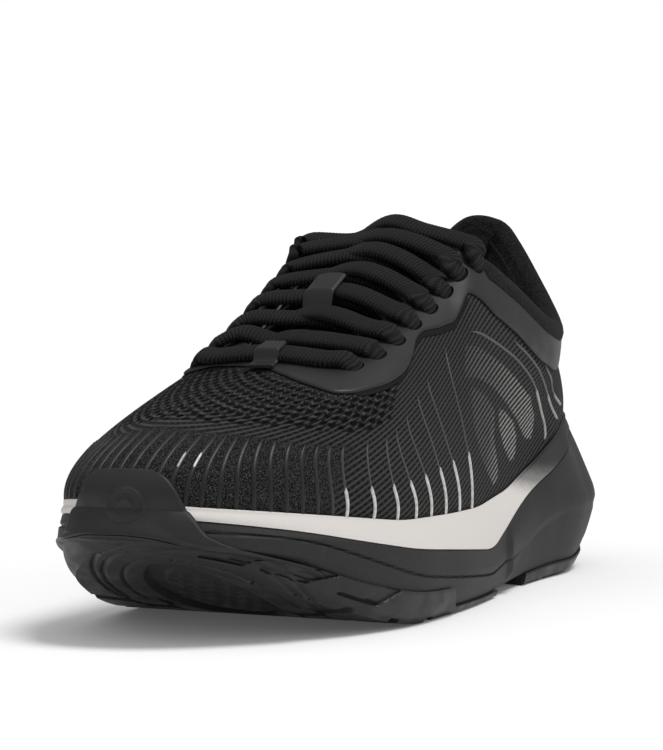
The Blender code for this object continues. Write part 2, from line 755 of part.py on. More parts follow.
def lace_keeper():
    """The strap at the front of the throat that the lace's front bar runs under."""
    rise = LACE_OVER + LACE_R + GAP - FILM_OUT - GAP
    reach = LACE_R + 4 * GAP

    def under_side(u, v):
        middle = layer(u, BAR_V + 0 * v, 0.0)
        away = np.linalg.norm(layer(u, v, 0.0) - middle, axis=1)
        return FILM_OUT + GAP + rise * (1 - smooth((away - reach) / (2 * LACE_R)))

    return shell("lace_keeper", np.linspace(*KEEPER_U, 4), *KEEPER_V,
                 lambda u, v: under_side(u, v) + KEEPER_THICK,
                 under_side, 9, material("film", GREY_FILM, 0.5))


def build():
    clear_scene()
    cutters = flex_cutters()
    holes = lace_holes()
    board = foot_layer("strobel_board", 4.2 * MM, GAP, BOARD, material("board", BOARD_GREY, 0.9))
    footbed = foot_layer("sockliner", 7 * MM, BOARD + 2 * GAP, FOOTBED, material("footbed", BLACK_KNIT, 0.9))
    knit = shell("upper_knit", ring_u(), 0.012, 1.0, 0.0, -KNIT, 8, material("knit", BLACK_KNIT, 0.85),
                 closed=True)
    boolean(knit, holes)
    fronts = [outsole(cutters), toe_puff()]
    for whole in (midsole_base(), midsole_cushion(), board, footbed, knit, lining()):
        _, front = split_at_bend(whole, cutters)
        fronts.append(front)
    hang_on_axis("toe_flex_axis", Vector((0, FLEX_Y, FLEX_Z)), fronts)
    heel_counter()
    collar_foam()
    heel_tab()
    boolean(overlay_film(), holes)
    boolean(eyelet_backer("eyelet_backer_lateral", BACKER_COLUMNS / RING), holes)
    boolean(eyelet_backer("eyelet_backer_medial", 1 - BACKER_COLUMNS[::-1] / RING), holes)
    laces()
    lace_keeper()
    hang_on_axis("tongue_axis", TONGUE_HINGE, [tongue(), tongue_patch()])


build()
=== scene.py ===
import itertools
import math

import bmesh
import bpy
import numpy as np
from mathutils import Matrix, Vector


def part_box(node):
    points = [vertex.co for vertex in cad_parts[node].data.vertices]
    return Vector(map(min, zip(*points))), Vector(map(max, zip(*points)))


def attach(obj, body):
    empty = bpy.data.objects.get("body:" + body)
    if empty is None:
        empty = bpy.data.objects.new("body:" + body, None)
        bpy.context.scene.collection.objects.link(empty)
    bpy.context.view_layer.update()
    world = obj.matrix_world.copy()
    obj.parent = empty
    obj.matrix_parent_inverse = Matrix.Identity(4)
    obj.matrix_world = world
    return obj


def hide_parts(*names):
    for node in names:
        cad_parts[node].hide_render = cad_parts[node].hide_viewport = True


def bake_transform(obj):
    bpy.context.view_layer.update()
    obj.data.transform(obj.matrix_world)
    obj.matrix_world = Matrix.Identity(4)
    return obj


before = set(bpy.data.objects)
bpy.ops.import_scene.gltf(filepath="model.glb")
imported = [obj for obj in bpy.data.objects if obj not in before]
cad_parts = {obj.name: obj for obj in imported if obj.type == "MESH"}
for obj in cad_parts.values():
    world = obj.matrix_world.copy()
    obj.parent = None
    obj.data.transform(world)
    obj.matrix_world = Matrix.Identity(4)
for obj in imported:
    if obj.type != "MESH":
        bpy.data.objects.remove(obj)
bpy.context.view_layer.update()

# The looks of a left running shoe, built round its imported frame. Toe towards -Y, lateral side towards +X,
# ground at z = 0. Places on the shoe use the frame's own coordinates:
#   u  once round the shoe: 0 at the toe, 0.25 lateral, 0.5 at the heel, 0.75 (or -0.25) medial
#   v  up the upper, from the feather line (0) to the top line (1)
#   h  up the sole's side wall, from the tread's edge (0) over the widest line (2) to the feather line (4)
#   d  out from that surface, along its normal

MM = 0.001
RING = 960  # points round the shoe on a fine closed ring

# One row for each of 24 stations round the shoe, in mm: the feather line (x, y), the top line (x, y, z), how
# far the upper bulges out and up from the feather line, and how far it runs out and down from the top line.
STATIONS = (
    ((-8, -137), (-3, -41, 82), (3, 24), (38, 14)),  # toe tip, front of the throat
    ((12, -131), (7, -39, 82.5), (4, 24), (40, 14)),
    ((30, -114), (15, -33, 84), (5, 24), (38, 12)),
    ((42, -90), (19, -19, 88.5), (5, 24), (32, 10)),
    ((48, -62), (21, 0, 96), (4, 24), (22, 9)),  # lateral ball
    ((48, -34), (23, 20, 104), (3, 26), (18, 9)),
    ((46, -5), (27, 36, 113), (2, 28), (16, 14)),  # top of the lateral eyestay
    ((43, 22), (33, 56, 104), (1, 30), (13, 18)),
    ((40, 48), (37, 80, 91), (1, 24), (8, 18)),
    ((38, 74), (34, 102, 87), (1, 18), (3, 16)),  # lowest point of the collar
    ((36, 98), (22, 119, 97), (2, 14), (2, 14)),
    ((25, 124), (7, 129, 115), (3, 18), (3, 18)),
    ((0, 135), (-1, 132, 122), (4, 24), (4, 24)),  # heel
    ((-23, 125), (-14, 128, 121), (3, 18), (3, 18)),
    ((-33, 100), (-26, 118, 105), (2, 14), (2, 14)),
    ((-34, 75), (-34, 100, 89), (1, 18), (3, 16)),
    ((-33, 50), (-37, 78, 93), (1, 24), (8, 18)),
    ((-34, 24), (-34, 56, 106), (1, 28), (12, 18)),
    ((-38, -4), (-28, 37, 114), (1, 24), (13, 14)),  # top of the medial eyestay
    ((-43, -34), (-25, 20, 106), (2, 20), (13, 10)),
    ((-45, -62), (-23, 0, 98), (2, 17), (15, 10)),  # medial ball
    ((-43, -90), (-21, -20, 89.5), (3, 17), (20, 12)),
    ((-39, -113), (-18, -34, 84.5), (4, 17), (26, 13)),
    ((-26, -131), (-11, -40, 82.5), (4, 20), (31, 14)),
)

# Heights along the shoe, as (y, z) in mm.
FEATHER_Z = (
    (-145, 42), (-104, 37), (-61, 32), (-20, 30.5), (7, 30), (40, 33), (76, 42), (99, 50), (120, 54),
    (145, 57),
)
BAND_Z = (
    (-145, 34), (-104, 31), (-61, 24), (7, 17), (30, 24), (47, 30), (65, 35), (83, 41), (120, 50), (145, 53),
)
FLOOR_Z = (
    (-135, 40), (-120, 35), (-100, 30), (-61, 26), (-20, 27), (7, 27.5), (60, 32), (100, 34), (145, 35),
)
# How far the widest line stands out from the feather line, as (y, distance) in mm.
LATERAL_FLARE = ((-145, 4), (-90, 5.5), (-20, 7), (35, 4.5), (60, 5), (85, 9), (110, 12), (145, 10))
MEDIAL_FLARE = ((-145, 4), (-110, 2), (-60, 4), (-20, 4.5), (35, 3), (60, 4), (85, 7), (110, 10), (145, 10))

TREAD_FLAT = (-50 * MM, 85 * MM)
TOE_SPRING, TOE_RUN, TOE_POWER = 35 * MM, 95 * MM, 1.7
HEEL_BEVEL, HEEL_RUN = 7 * MM, 60 * MM
RUBBER, TOE_THINNING = 3.5 * MM, 1.5 * MM
LIP = 1.3 * MM
GAP = 0.3 * MM
KNIT, FILM, LINING, STIFFENER, COLLAR_PAD = 1.6 * MM, 0.8 * MM, 0.7 * MM, 1.2 * MM, 6 * MM
KNIT_IN = KNIT + 2 * GAP
FILM_OUT = 1.5 * GAP + FILM
LINING_OUT = KNIT_IN + STIFFENER + 4 * GAP


# ---------------------------------------------------------------- the shoe's form


def catmull_rom(p0, p1, p2, p3, f):
    """The point at the share f of the way from p1 to p2, on the smooth curve through four points."""
    return 0.5 * (2 * p1 + (p2 - p0) * f + (2 * p0 - 5 * p1 + 4 * p2 - p3) * f**2
                  + (3 * p1 - p0 - 3 * p2 + p3) * f**3)


def closed_spline(points, u):
    """Points on the closed smooth curve through these points, at u from 0 to 1."""
    count = len(points)
    t = (np.asarray(u, float) % 1.0) * count
    i = np.floor(t).astype(int)
    return catmull_rom(*(points[(i + k) % count] for k in (-1, 0, 1, 2)), (t - i)[:, None])


def folded(u):
    """u measured from the toe, 0 to 0.5, the same on both sides."""
    return np.minimum(u % 1.0, 1 - u % 1.0)


def signed(u):
    """u measured from the toe, -0.5 to 0.5, below 0 on the medial side."""
    return (u + 0.5) % 1.0 - 0.5


def eased(table, x, reach=None, fold=np.asarray):
    """The value at x of a table of (x, value) pairs, with its corners rounded over this reach."""
    xs, values = np.array(table, float).T
    if reach is None:
        reach = 0.02 * (xs[-1] - xs[0])
    return sum(np.interp(fold(x + shift * reach), xs, values) for shift in (-1, -0.5, 0, 0.5, 1)) / 5


def at_edge(table, u, rounding=0.003):
    """The value of a table that holds for both sides of the shoe."""
    return eased(table, u, rounding, folded)


def rounding(near, least=0.0):
    """The share of a sheet's thickness near its edge, by the distance from the edge in radii."""
    return np.sqrt(np.clip(1 - (1 - np.clip(near, 0, 1)) ** 2, least, 1))


def along(table, y):
    """The height or distance, in metres, that a table in mm gives at y in metres."""
    return eased(table, np.asarray(y) / MM) * MM


def smooth(t):
    t = np.clip(t, 0.0, 1.0)
    return t * t * (3 - 2 * t)


def unit(vectors):
    return vectors / np.linalg.norm(vectors, axis=1)[:, None]


def station(k, u):
    """One of the four entries of STATIONS, in metres, at u."""
    return closed_spline(np.array([s[k] for s in STATIONS]) * MM, u)


def feather(u):
    """The feather line as (x, y) and its outward direction."""
    step = 1e-3
    run = station(0, u + step) - station(0, u - step)
    return station(0, u), unit(np.column_stack([run[:, 1], -run[:, 0]]))


def tread_z(y):
    """The height of the tread's underside: flat in the middle, springing up at the toe, bevelled behind."""
    toe = np.clip((TREAD_FLAT[0] - y) / TOE_RUN, 0, None)
    heel = np.clip((y - TREAD_FLAT[1]) / HEEL_RUN, 0, None)
    return TOE_SPRING * toe**TOE_POWER + HEEL_BEVEL * heel**2


def rubber(y):
    """The tread's thickness."""
    return RUBBER - TOE_THINNING * smooth((-y / MM - 90) / 40)


def wall(u, height, d=0.0):
    """Points on the sole's side wall at height h, moved out by d."""
    u = np.asarray(u, float)
    flat, out = feather(u)
    x, y = flat.T
    lateral = smooth((x / MM + 8) / 16)
    flare = lateral * along(LATERAL_FLARE, y) + (1 - lateral) * along(MEDIAL_FLARE, y)
    toe = smooth((-y / MM - 80) / 50)
    heel = smooth((y / MM - 70) / 40)
    band = along(BAND_Z, y)
    foot = 0.25 - 1.9 * toe
    tread = tread_z(y + out[:, 1] * flare * foot)
    wide = tread + (band - tread) * (0.62 + 0.1 * toe - 0.12 * heel)
    # For each level: the share of the flare that remains, and the height.
    levels = (
        (foot, tread),
        (0.72 - 0.6 * toe, tread + (0.45 + 0.4 * toe) * (wide - tread)),
        (1.0 + 0 * toe, wide),
        (0.86 - 0.66 * heel, band),
        (0.10 + 0 * toe, along(FEATHER_Z, y)),
    )
    share, z = np.array(levels).transpose(1, 0, 2)
    at = np.clip(np.broadcast_to(np.asarray(height, float), u.shape), 0, 4)
    index = np.arange(len(u))

    def level(values, where):
        low = np.minimum(where.astype(int), 3)
        part = where - low
        return values[low, index] * (1 - part) + values[low + 1, index] * part

    def rounded(values):
        # The level lines 1 and 2 are rounded over; the others stay crisp edges.
        soft = 0.35 * np.clip(1 - np.abs(at - 1.5) / 1.2, 0, 1)
        return (level(values, at - soft) + 2 * level(values, at) + level(values, at + soft)) / 4

    return np.column_stack([flat + out * (flare * rounded(share) + d)[:, None], rounded(z)])


def upper(u, v):
    """Points on the upper's outer face, for an array u and an array or one value v."""
    u = np.asarray(u, float)
    v = np.broadcast_to(np.asarray(v, float), u.shape)[:, None]
    flat, out = feather(u)
    foot = np.column_stack([flat, along(FEATHER_Z, flat[:, 1])])
    top, rise, fall = station(1, u), station(2, u), station(3, u)
    spread = unit(unit((foot - top)[:, :2]) + out)
    p1 = foot + np.column_stack([out * rise[:, :1], rise[:, 1]])
    p2 = top + np.column_stack([spread * fall[:, :1], -fall[:, 1]])
    return (1 - v) ** 3 * foot + 3 * (1 - v) ** 2 * v * p1 + 3 * (1 - v) * v**2 * p2 + v**3 * top


def normal_at(u, v):
    """The upper's outward normals."""
    step = 2e-3
    across = upper(u + step, v) - upper(u - step, v)
    return unit(np.cross(across, upper(u, v + step) - upper(u, v - step)))


def layer(u, v, d):
    """Points of the upper moved by d along its outward normal."""
    u = np.asarray(u, float)
    return upper(u, v) + normal_at(u, v) * np.broadcast_to(d, u.shape)[:, None]


# ---------------------------------------------------------------- mesh helpers


def add_object(name, data):
    obj = bpy.data.objects.new(name, data)
    bpy.context.scene.collection.objects.link(obj)
    return obj


def sharpen(mesh, crease_deg):
    """Shades a mesh smooth, with sharp creases from this angle on."""
    mesh.shade_smooth()
    mesh.set_sharp_from_angle(angle=math.radians(crease_deg))


def finished(name, bm, mesh, finish, crease_deg):
    """An object from a bmesh written into a mesh, its faces turned outwards."""
    bmesh.ops.recalc_face_normals(bm, faces=bm.faces)
    bm.to_mesh(mesh)
    bm.free()
    sharpen(mesh, crease_deg)
    mesh.materials.append(finish)
    return add_object(name, mesh)


def piece(name, points, faces, finish, form=None, crease_deg=50):
    """An object from points and faces. form holds three values a point, for the material's pattern."""
    mesh = bpy.data.meshes.new(name)
    mesh.from_pydata([tuple(p) for p in points], [], faces)
    bm = bmesh.new()
    bm.from_mesh(mesh)
    made = finished(name, bm, mesh, finish, crease_deg)
    if form is not None:
        held = mesh.attributes.new("form", "FLOAT_VECTOR", "POINT")
        held.data.foreach_set("vector", np.asarray(form, np.float32).ravel())
    return made


def grid_quads(rows, columns, closed, first=0):
    """The faces of a grid of points, row by row; closed joins the last column to the first."""
    r, c = np.meshgrid(np.arange(rows - 1), np.arange(columns if closed else columns - 1), indexing="ij")
    n = (c + 1) % columns
    r, above = r * columns, (r + 1) * columns
    return (np.stack([r + c, r + n, above + n, above + c], axis=-1).reshape(-1, 4) + first).tolist()


def tube_faces(sections, around, first=0):
    """The faces of a closed solid through closed sections, with flat ends."""
    last = first + (sections - 1) * around
    ends = [[start + k for k in range(around)] for start in (first, last)]
    return grid_quads(sections, around, True, first) + ends


def slab(name, outer, inner, finish, closed=False, form=None, crease_deg=50):
    """A closed solid between an outer and an inner grid. On a closed ring the inner grid may be coarser: its
    column count then divides the outer one's. form holds three values for each outer point."""
    outer, inner = np.array(outer), np.array(inner)
    rows, columns = outer.shape[:2]
    low_rows, low_columns = inner.shape[:2]
    base = rows * columns
    ratio = columns // low_columns
    faces = grid_quads(rows, columns, closed) + grid_quads(low_rows, low_columns, closed, base)
    for r, low_r in ((0, 0), (rows - 1, low_rows - 1)):
        for c in range(low_columns if closed else low_columns - 1):
            over = [r * columns + (c * ratio + k) % columns for k in range(ratio + 1)]
            under = [base + low_r * low_columns + (c + k) % low_columns for k in (1, 0)]
            faces.append(over + under)
    if not closed:
        for c in (0, columns - 1):
            for r in range(rows - 1):
                a, b = r * columns + c, (r + 1) * columns + c
                faces.append([a, b, base + b, base + a])
    points = np.concatenate([outer.reshape(-1, 3), inner.reshape(-1, 3)])
    if form is not None:
        form = np.concatenate([np.asarray(form).reshape(-1, 3), np.zeros((low_rows * low_columns, 3))])
    return piece(name, points, faces, finish, form, crease_deg)


def rounded_sheet(name, us, low, high, lift, thick, rows, finish, edge=1.2 * MM):
    """A sheet on the upper between v = low and v = high for each u, with its outer edges rounded over."""
    low, high = np.broadcast_to(low, us.shape), np.broadcast_to(high, us.shape)
    height = np.linalg.norm(upper(us, high) - upper(us, low), axis=1)
    outer, inner = [], []
    for share in 0.5 - 0.5 * np.cos(np.linspace(0, math.pi, rows)):
        v = low + (high - low) * share
        near = np.minimum(share, 1 - share) * height
        outer.append(layer(us, v, lift + thick * rounding(near / edge, 0.02)))
        inner.append(layer(us, v, lift))
    return slab(name, outer, inner, finish)


def sweep(name, sections, finish, form=None, crease_deg=60):
    """A closed solid through closed sections, with flat ends."""
    faces = tube_faces(len(sections), len(sections[0]))
    return piece(name, np.concatenate(sections), faces, finish, form, crease_deg)


def ring_loft(name, rings, finish, form=None, crease_deg=50):
    """A closed solid through closed rings round the shoe, capped at both ends by faces across the shoe."""
    count = len(rings[0])
    faces = grid_quads(len(rings), count, True)
    for first in (0, (len(rings) - 1) * count):
        for i in range(count // 2):
            corners = [first + i, first + i + 1, first + (count - i - 1) % count, first + (count - i) % count]
            faces.append(list(dict.fromkeys(corners)))
    return piece(name, np.concatenate(rings), faces, finish, form, crease_deg)


# ---------------------------------------------------------------- materials


def grey(level):
    return level, level, level


class Finish:
    """A material built from nodes. Its methods add a node and give back its output."""

    def __init__(self, name, colour, roughness, sheen=0.0, specular=0.5):
        self.material = bpy.data.materials.new(name)
        self.material.use_nodes = True
        self.tree = self.material.node_tree
        self.shader = self.tree.nodes["Principled BSDF"]
        self.put(self.shader.inputs["Base Color"], (*colour, 1.0))
        self.put(self.shader.inputs["Roughness"], roughness)
        self.put(self.shader.inputs["Sheen Weight"], sheen)
        self.put(self.shader.inputs["Specular IOR Level"], specular)
        self.material.diffuse_color = (*colour, 1.0)

    def put(self, socket, value):
        if isinstance(value, bpy.types.NodeSocket):
            self.tree.links.new(value, socket)
        else:
            socket.default_value = value

    def add(self, kind, *values, **settings):
        made = self.tree.nodes.new(kind)
        for key, value in settings.items():
            setattr(made, key, value)
        for socket, value in zip(made.inputs, values):
            if value is not None:
                self.put(socket, value)
        return made

    def maths(self, operation, *values):
        return self.add("ShaderNodeMath", *values, operation=operation).outputs[0]

    def form(self):
        """The three values of the form attribute."""
        found = self.add("ShaderNodeAttribute", attribute_name="form")
        return self.add("ShaderNodeSeparateXYZ", found.outputs["Vector"]).outputs

    def place(self):
        return self.add("ShaderNodeTexCoord").outputs["Object"]

    def speckle(self, per_mm, detail=2.0, roughness=0.5):
        made = self.add("ShaderNodeTexNoise")
        self.put(made.inputs["Vector"], self.place())
        self.put(made.inputs["Scale"], per_mm / MM)
        self.put(made.inputs["Detail"], detail)
        self.put(made.inputs["Roughness"], roughness)
        return made.outputs["Fac"]

    def wave(self, distance_mm, pitch_mm):
        """A sine between 0 and 1 of a distance in mm."""
        turn = self.maths("MULTIPLY", distance_mm, 2 * math.pi / pitch_mm)
        return self.maths("MULTIPLY_ADD", self.maths("SINE", turn), 0.5, 0.5)

    def range(self, value, low, high, to_low=0.0, to_high=1.0):
        made = self.add("ShaderNodeMapRange", value, low, high, to_low, to_high,
                        interpolation_type="SMOOTHSTEP")
        return made.outputs[0]

    def mix(self, share, first, second):
        """Between two colours or outputs."""
        made = self.add("ShaderNodeMixRGB", share)
        for socket, value in zip(made.inputs[1:], (first, second)):
            self.put(socket, value if isinstance(value, bpy.types.NodeSocket) else (*value, 1.0))
        return made.outputs["Color"]

    def colour(self, value):
        self.put(self.shader.inputs["Base Color"], value)

    def roughness(self, value):
        self.put(self.shader.inputs["Roughness"], value)

    def bump(self, height, depth_mm):
        """Relief of this depth, on top of any relief that the material already has."""
        made = self.add("ShaderNodeBump")
        self.put(made.inputs["Distance"], depth_mm * MM)
        self.put(made.inputs["Height"], height)
        normal = self.shader.inputs["Normal"]
        if normal.is_linked:
            self.put(made.inputs["Normal"], normal.links[0].from_socket)
        self.put(normal, made.outputs["Normal"])


def knit_finish(name, light):
    """Cords of knit with dashed slots between them. The form attribute holds the distances across and along
    the
    cords in mm, and a third value: above 0 a vent or lace dent, coloured near-black as painted shade down an
    open hole over the dark lining, below 0 the dense speckled knit of the toe. The ink attribute holds the
    strength of the printed graphic."""
    made = Finish(name, grey(0.012), 0.85, sheen=0.02, specular=0.12)
    across, lengthwise, kind = made.form()[:3]
    wobble = made.maths("MULTIPLY_ADD", made.speckle(0.7, 2.0), 0.5, across)
    cords = made.wave(wobble, 1.95)
    stitches = made.wave(made.maths("MULTIPLY_ADD", across, 0.55, lengthwise), 2.3)
    strands = made.wave(made.maths("MULTIPLY_ADD", across, -1.6, lengthwise), 0.62)
    dense = made.maths("MULTIPLY", made.maths("MINIMUM", kind, 0.0), -1.0)
    hole = made.range(kind, 0.10, 0.32)
    bridge = made.maths("MULTIPLY", made.range(stitches, 0.62, 0.95), 0.42)
    weave = made.maths("MAXIMUM", made.range(cords, 0.30, 0.80), bridge)
    weave = made.maths("MULTIPLY_ADD", strands, 0.16, made.maths("MULTIPLY", weave, 0.84))
    specks = made.range(made.speckle(2.6, 1.5), 0.48, 0.57)
    toe = made.maths("MULTIPLY_ADD", weave, 0.15, made.maths("MULTIPLY", specks, 0.85))
    weave = made.mix(dense, weave, toe)
    made.bump(weave, 0.6)
    shade = made.mix(made.range(weave, 0.12, 0.95), (0.0028, 0.0028, 0.0029), light)
    ink = made.add("ShaderNodeAttribute", attribute_name="ink").outputs["Fac"]
    inked = made.maths("MULTIPLY", ink, made.range(made.maths("MAXIMUM", cords, bridge), 0.38, 0.62))
    shade = made.mix(inked, shade, (0.44, 0.43, 0.42))
    # Painted shade: vents and lace dents are coloured near-black for the shade down an open hole and the dark
    # lining behind it.
    made.colour(made.mix(hole, shade, grey(0.0008)))
    return made.material


def film_finish():
    made = Finish("film", grey(0.017), 0.46, specular=0.3)
    made.bump(made.speckle(1.6, 3.0), 0.05)
    made.roughness(made.range(made.speckle(0.08, 2.0), 0.3, 0.7, 0.42, 0.54))
    return made.material


def mark_finish():
    """The printed and reflective lines, and painted highlights on two lateral toe ribs: form's first value
    runs from dull grey to bright silver.
    """
    made = Finish("marks", grey(0.05), 0.4, specular=0.3)
    shade = made.form()[0]
    wear = made.range(made.speckle(0.9, 3.0), 0.35, 0.6, 0.75, 1.0)
    made.colour(made.mix(made.maths("MULTIPLY", shade, wear), grey(0.010), (0.72, 0.71, 0.69)))
    made.put(made.shader.inputs["Metallic"], made.maths("MULTIPLY", shade, 0.35))
    made.bump(made.speckle(2.5, 1.0), 0.06)
    return made.material


def rubber_finish():
    made = Finish("rubber", (0.019, 0.019, 0.020), 0.5, specular=0.35)
    made.bump(made.speckle(2.2, 3.0), 0.05)
    made.roughness(made.range(made.speckle(0.12, 3.0), 0.3, 0.7, 0.42, 0.6))
    scuff = made.range(made.speckle(0.05, 5.0, 0.65), 0.55, 0.8)
    made.colour(made.mix(scuff, (0.013, 0.013, 0.014), grey(0.021)))
    return made.material


def dark_foam_finish():
    """Moulded foam with a fine grain."""
    made = Finish("dark_foam", grey(0.023), 0.6, specular=0.28)
    grain = made.maths("MULTIPLY_ADD", made.speckle(3.0, 2.0), 0.6, made.speckle(0.7, 3.0))
    made.bump(grain, 0.06)
    made.colour(made.mix(made.range(grain, 0.5, 1.1), grey(0.016), grey(0.022)))
    return made.material


def pale_foam_finish():
    """Off-white foam, sprayed over to black towards the heel. The form attribute holds the share of black."""
    made = Finish("pale_foam", (0.70, 0.67, 0.64), 0.62, specular=0.3)
    share = made.range(made.maths("MULTIPLY_ADD", made.speckle(0.5, 3.0), 0.12, made.form()[0]), 0.06, 1.0)
    sprayed = made.mix(made.range(share, 0.0, 0.5), (0.64, 0.61, 0.585), (0.20, 0.195, 0.19))
    made.colour(made.mix(made.range(share, 0.4, 1.0), sprayed, grey(0.019)))
    made.bump(made.speckle(1.5, 3.0), 0.08)
    return made.material


def lace_finish():
    """A braid: ribs across the cord with a cell pattern along it. form holds the distance along and round,
    in mm."""
    made = Finish("lace", grey(0.012), 0.8, sheen=0.02, specular=0.12)
    run, turn = made.form()[:2]
    ribs = made.wave(made.maths("MULTIPLY_ADD", made.maths("ABSOLUTE", turn), 0.12, run), 1.3)
    cells = made.wave(made.maths("MULTIPLY_ADD", run, 0.6, turn), 0.95)
    weave = made.maths("MULTIPLY_ADD", made.maths("MULTIPLY", cells, ribs), 0.5,
                       made.maths("MULTIPLY", ribs, 0.5))
    made.bump(weave, 0.4)
    made.bump(made.speckle(2.4, 2.0), 0.12)
    made.colour(made.mix(made.range(weave, 0.0, 0.9), grey(0.005), (0.019, 0.019, 0.018)))
    return made.material


def cloth_finish(name, light, per_mm=1.1):
    made = Finish(name, grey(0.012), 0.9, sheen=0.02, specular=0.12)
    cells = made.add("ShaderNodeTexVoronoi")
    made.put(cells.inputs["Vector"], made.place())
    made.put(cells.inputs["Scale"], per_mm / MM)
    made.bump(cells.outputs["Distance"], 0.25)
    made.colour(made.mix(made.range(cells.outputs["Distance"], 0.1, 0.8), light, grey(0.004)))
    return made.material


def board_finish(name, colour):
    made = Finish(name, colour, 0.85, specular=0.2)
    made.bump(made.speckle(0.8, 4.0), 0.15)
    darker = tuple(0.7 * c for c in colour)
    made.colour(made.mix(made.speckle(0.4, 4.0), darker, colour))
    return made.material


# ---------------------------------------------------------------- the sole


SOLE_RING = 720


def ring_u(count=RING):
    """u round the whole shoe, from the heel, so that any seam of a pattern lies there."""
    return np.arange(count) / count - 0.5


def inset_ring(u, distance, z_table, lift=0.0):
    """A ring inside the feather line, at the heights that a table gives, lifted."""
    flat, out = feather(u)
    flat = flat - out * distance
    return np.column_stack([flat, along(z_table, flat[:, 1]) + lift])


def bump_line(x, width):
    """1 on a line and 0 beyond its width."""
    return smooth(1 - np.abs(x) / width)


# The height of the parting groove along the black foam's wall, as (u, h).
PARTING = (
    (0, 3.2), (0.06, 3.15), (0.085, 3.05), (0.13, 2.5), (0.17, 2.1), (0.22, 1.9), (0.28, 1.7), (0.5, 1.6),
)


def heel_bulge(u, h):
    """How far both foams swell round the heel, most at half height, and draw in towards their top edge."""
    swell = 0.7 * np.sin(math.pi * np.clip((h - 0.4) / 2.7, 0, 1)) - 1.2 * smooth((h - 2.6) / 1.2)
    return swell * MM * smooth((folded(u) - 0.31) / 0.05)


CUSHION_START = 0.296  # the u of the crease in front of the heel's cushion
# The height of the roll round the heel, as (u, h).
HEEL_ROLL = ((0.0, 0.6), (0.300, 0.9), (0.312, 1.35), (0.328, 1.75), (0.355, 2.0), (0.40, 2.1), (0.5, 2.1))


def foam_relief(u, h):
    """How far the black foam's wall stands in or out: a parting groove and the heel's sculpted facets."""
    side = folded(u)
    groove = bump_line(h - eased(PARTING, side), 0.09) * smooth((0.33 - side) / 0.05)
    # The heel's cushion stands out behind a steep crease, and its lower half is set in under a roll.
    behind = side - CUSHION_START - 0.004 * np.sin(2.2 * h)
    cushion = 1.6 * MM * smooth(behind / 0.007) * smooth(1 - behind / 0.12) * smooth((3.2 - h) / 0.9)
    cushion = cushion * smooth((h - 0.5) / 0.4)
    under = smooth((eased(HEEL_ROLL, side) - h) / 0.30) * smooth((h - 0.5) / 0.4)
    under = under * smooth((side - 0.300) / 0.012) * (1 - 0.6 * smooth((side - 0.34) / 0.05))
    return cushion + heel_bulge(u, h) - 1.5 * MM * under - 0.9 * MM * groove


# Where the black foam ends and the pale foam starts on the wall, as (u, h), and how far the pale foam's
# rolled edge climbs over the foot of the knit, as (u, mm). Below 0 is the medial side.
SPLIT = (
    (-0.5, 3.0), (-0.22, 3.0), (-0.13, 3.5), (-0.05, 3.68), (0.03, 3.68), (0.075, 3.52), (0.12, 3.12),
    (0.17, 3.0), (0.5, 3.0),
)
CLIMB = (
    (-0.5, 0.6), (-0.20, 1.0), (-0.12, 2.6), (-0.03, 2.6), (0.03, 1.2), (0.10, 1.0), (0.16, 0.5), (0.5, 0.4),
)

FOOT_CLIMB = 90 * MM  # the length of one step of v at the foot of the knit


def split_height(u):
    """The h at which the two foams meet."""
    return np.minimum(eased(SPLIT, u), 3.75)


def midsole_base(finish):
    """The black lower foam, from the rubber up to the pale layer."""
    u = ring_u(SOLE_RING)
    split = split_height(u)
    floor = wall(u, 0.45)
    floor[:, 2] = tread_z(floor[:, 1]) + rubber(floor[:, 1]) + 2 * GAP
    rings = [floor]
    for t in np.linspace(0, 1, 44):
        h = 0.5 + (split - 0.53) * t
        rings.append(wall(u, h, foam_relief(u, h)))
    edge = wall(u, split, heel_bulge(u, split) - 0.5 * MM)
    edge[:, 2] -= 2 * GAP
    rim = inset_ring(u, 3 * MM, FLOOR_Z, 1.4 * MM)
    rim[:, 2] = np.minimum(rim[:, 2], edge[:, 2] - 1.0 * MM)
    rings += [edge, rim, inset_ring(u, 8 * MM, FLOOR_Z, -4.6 * MM)]
    return ring_loft("midsole_base", rings, finish, crease_deg=35)


def midsole_cushion(finish):
    """The pale upper foam: a tray under and round the foot, its thin top edge rolled over the knit's foot."""
    u = ring_u(SOLE_RING)
    split = split_height(u)
    low = wall(u, split, heel_bulge(u, split) - 0.3 * MM)
    rim = inset_ring(u, 3 * MM, FLOOR_Z, 2 * MM)
    rim[:, 2] = np.minimum(rim[:, 2], low[:, 2] - 1.0 * MM)
    rings = [inset_ring(u, 8 * MM, FLOOR_Z, -4 * MM), rim, low]
    for t in np.linspace(0.02, 0.96, 13):
        crown = 0.35 + 0.45 * math.sin(math.pi * t)
        h = split + (4.0 - split) * t
        rings.append(wall(u, h, crown * MM + heel_bulge(u, h)))
    climb = eased(CLIMB, u) * MM
    for share, out in ((0.3, 0.6), (0.8, 0.5), (1.0, 0.2)):
        rings.append(layer(u, 0.003 + share * climb / FOOT_CLIMB, out * MM))
    rings.append(wall(u, 4.0, -0.1 * MM))
    rings.append(inset_ring(u, 2.6 * MM, FEATHER_Z, -0.4 * MM))
    rings.append(inset_ring(u, 3.6 * MM, FLOOR_Z))
    blackness = np.clip((folded(u) - 0.318) / 0.075, 0, 1)
    form = []
    for k in range(len(rings)):
        share = np.clip(blackness + 0.25 * (k - 8) / 16 * (blackness > 0), 0, 1)
        form.append(np.column_stack([share, 0 * u, 0 * u]))
    return ring_loft("midsole_cushion", rings, finish, np.concatenate(form))


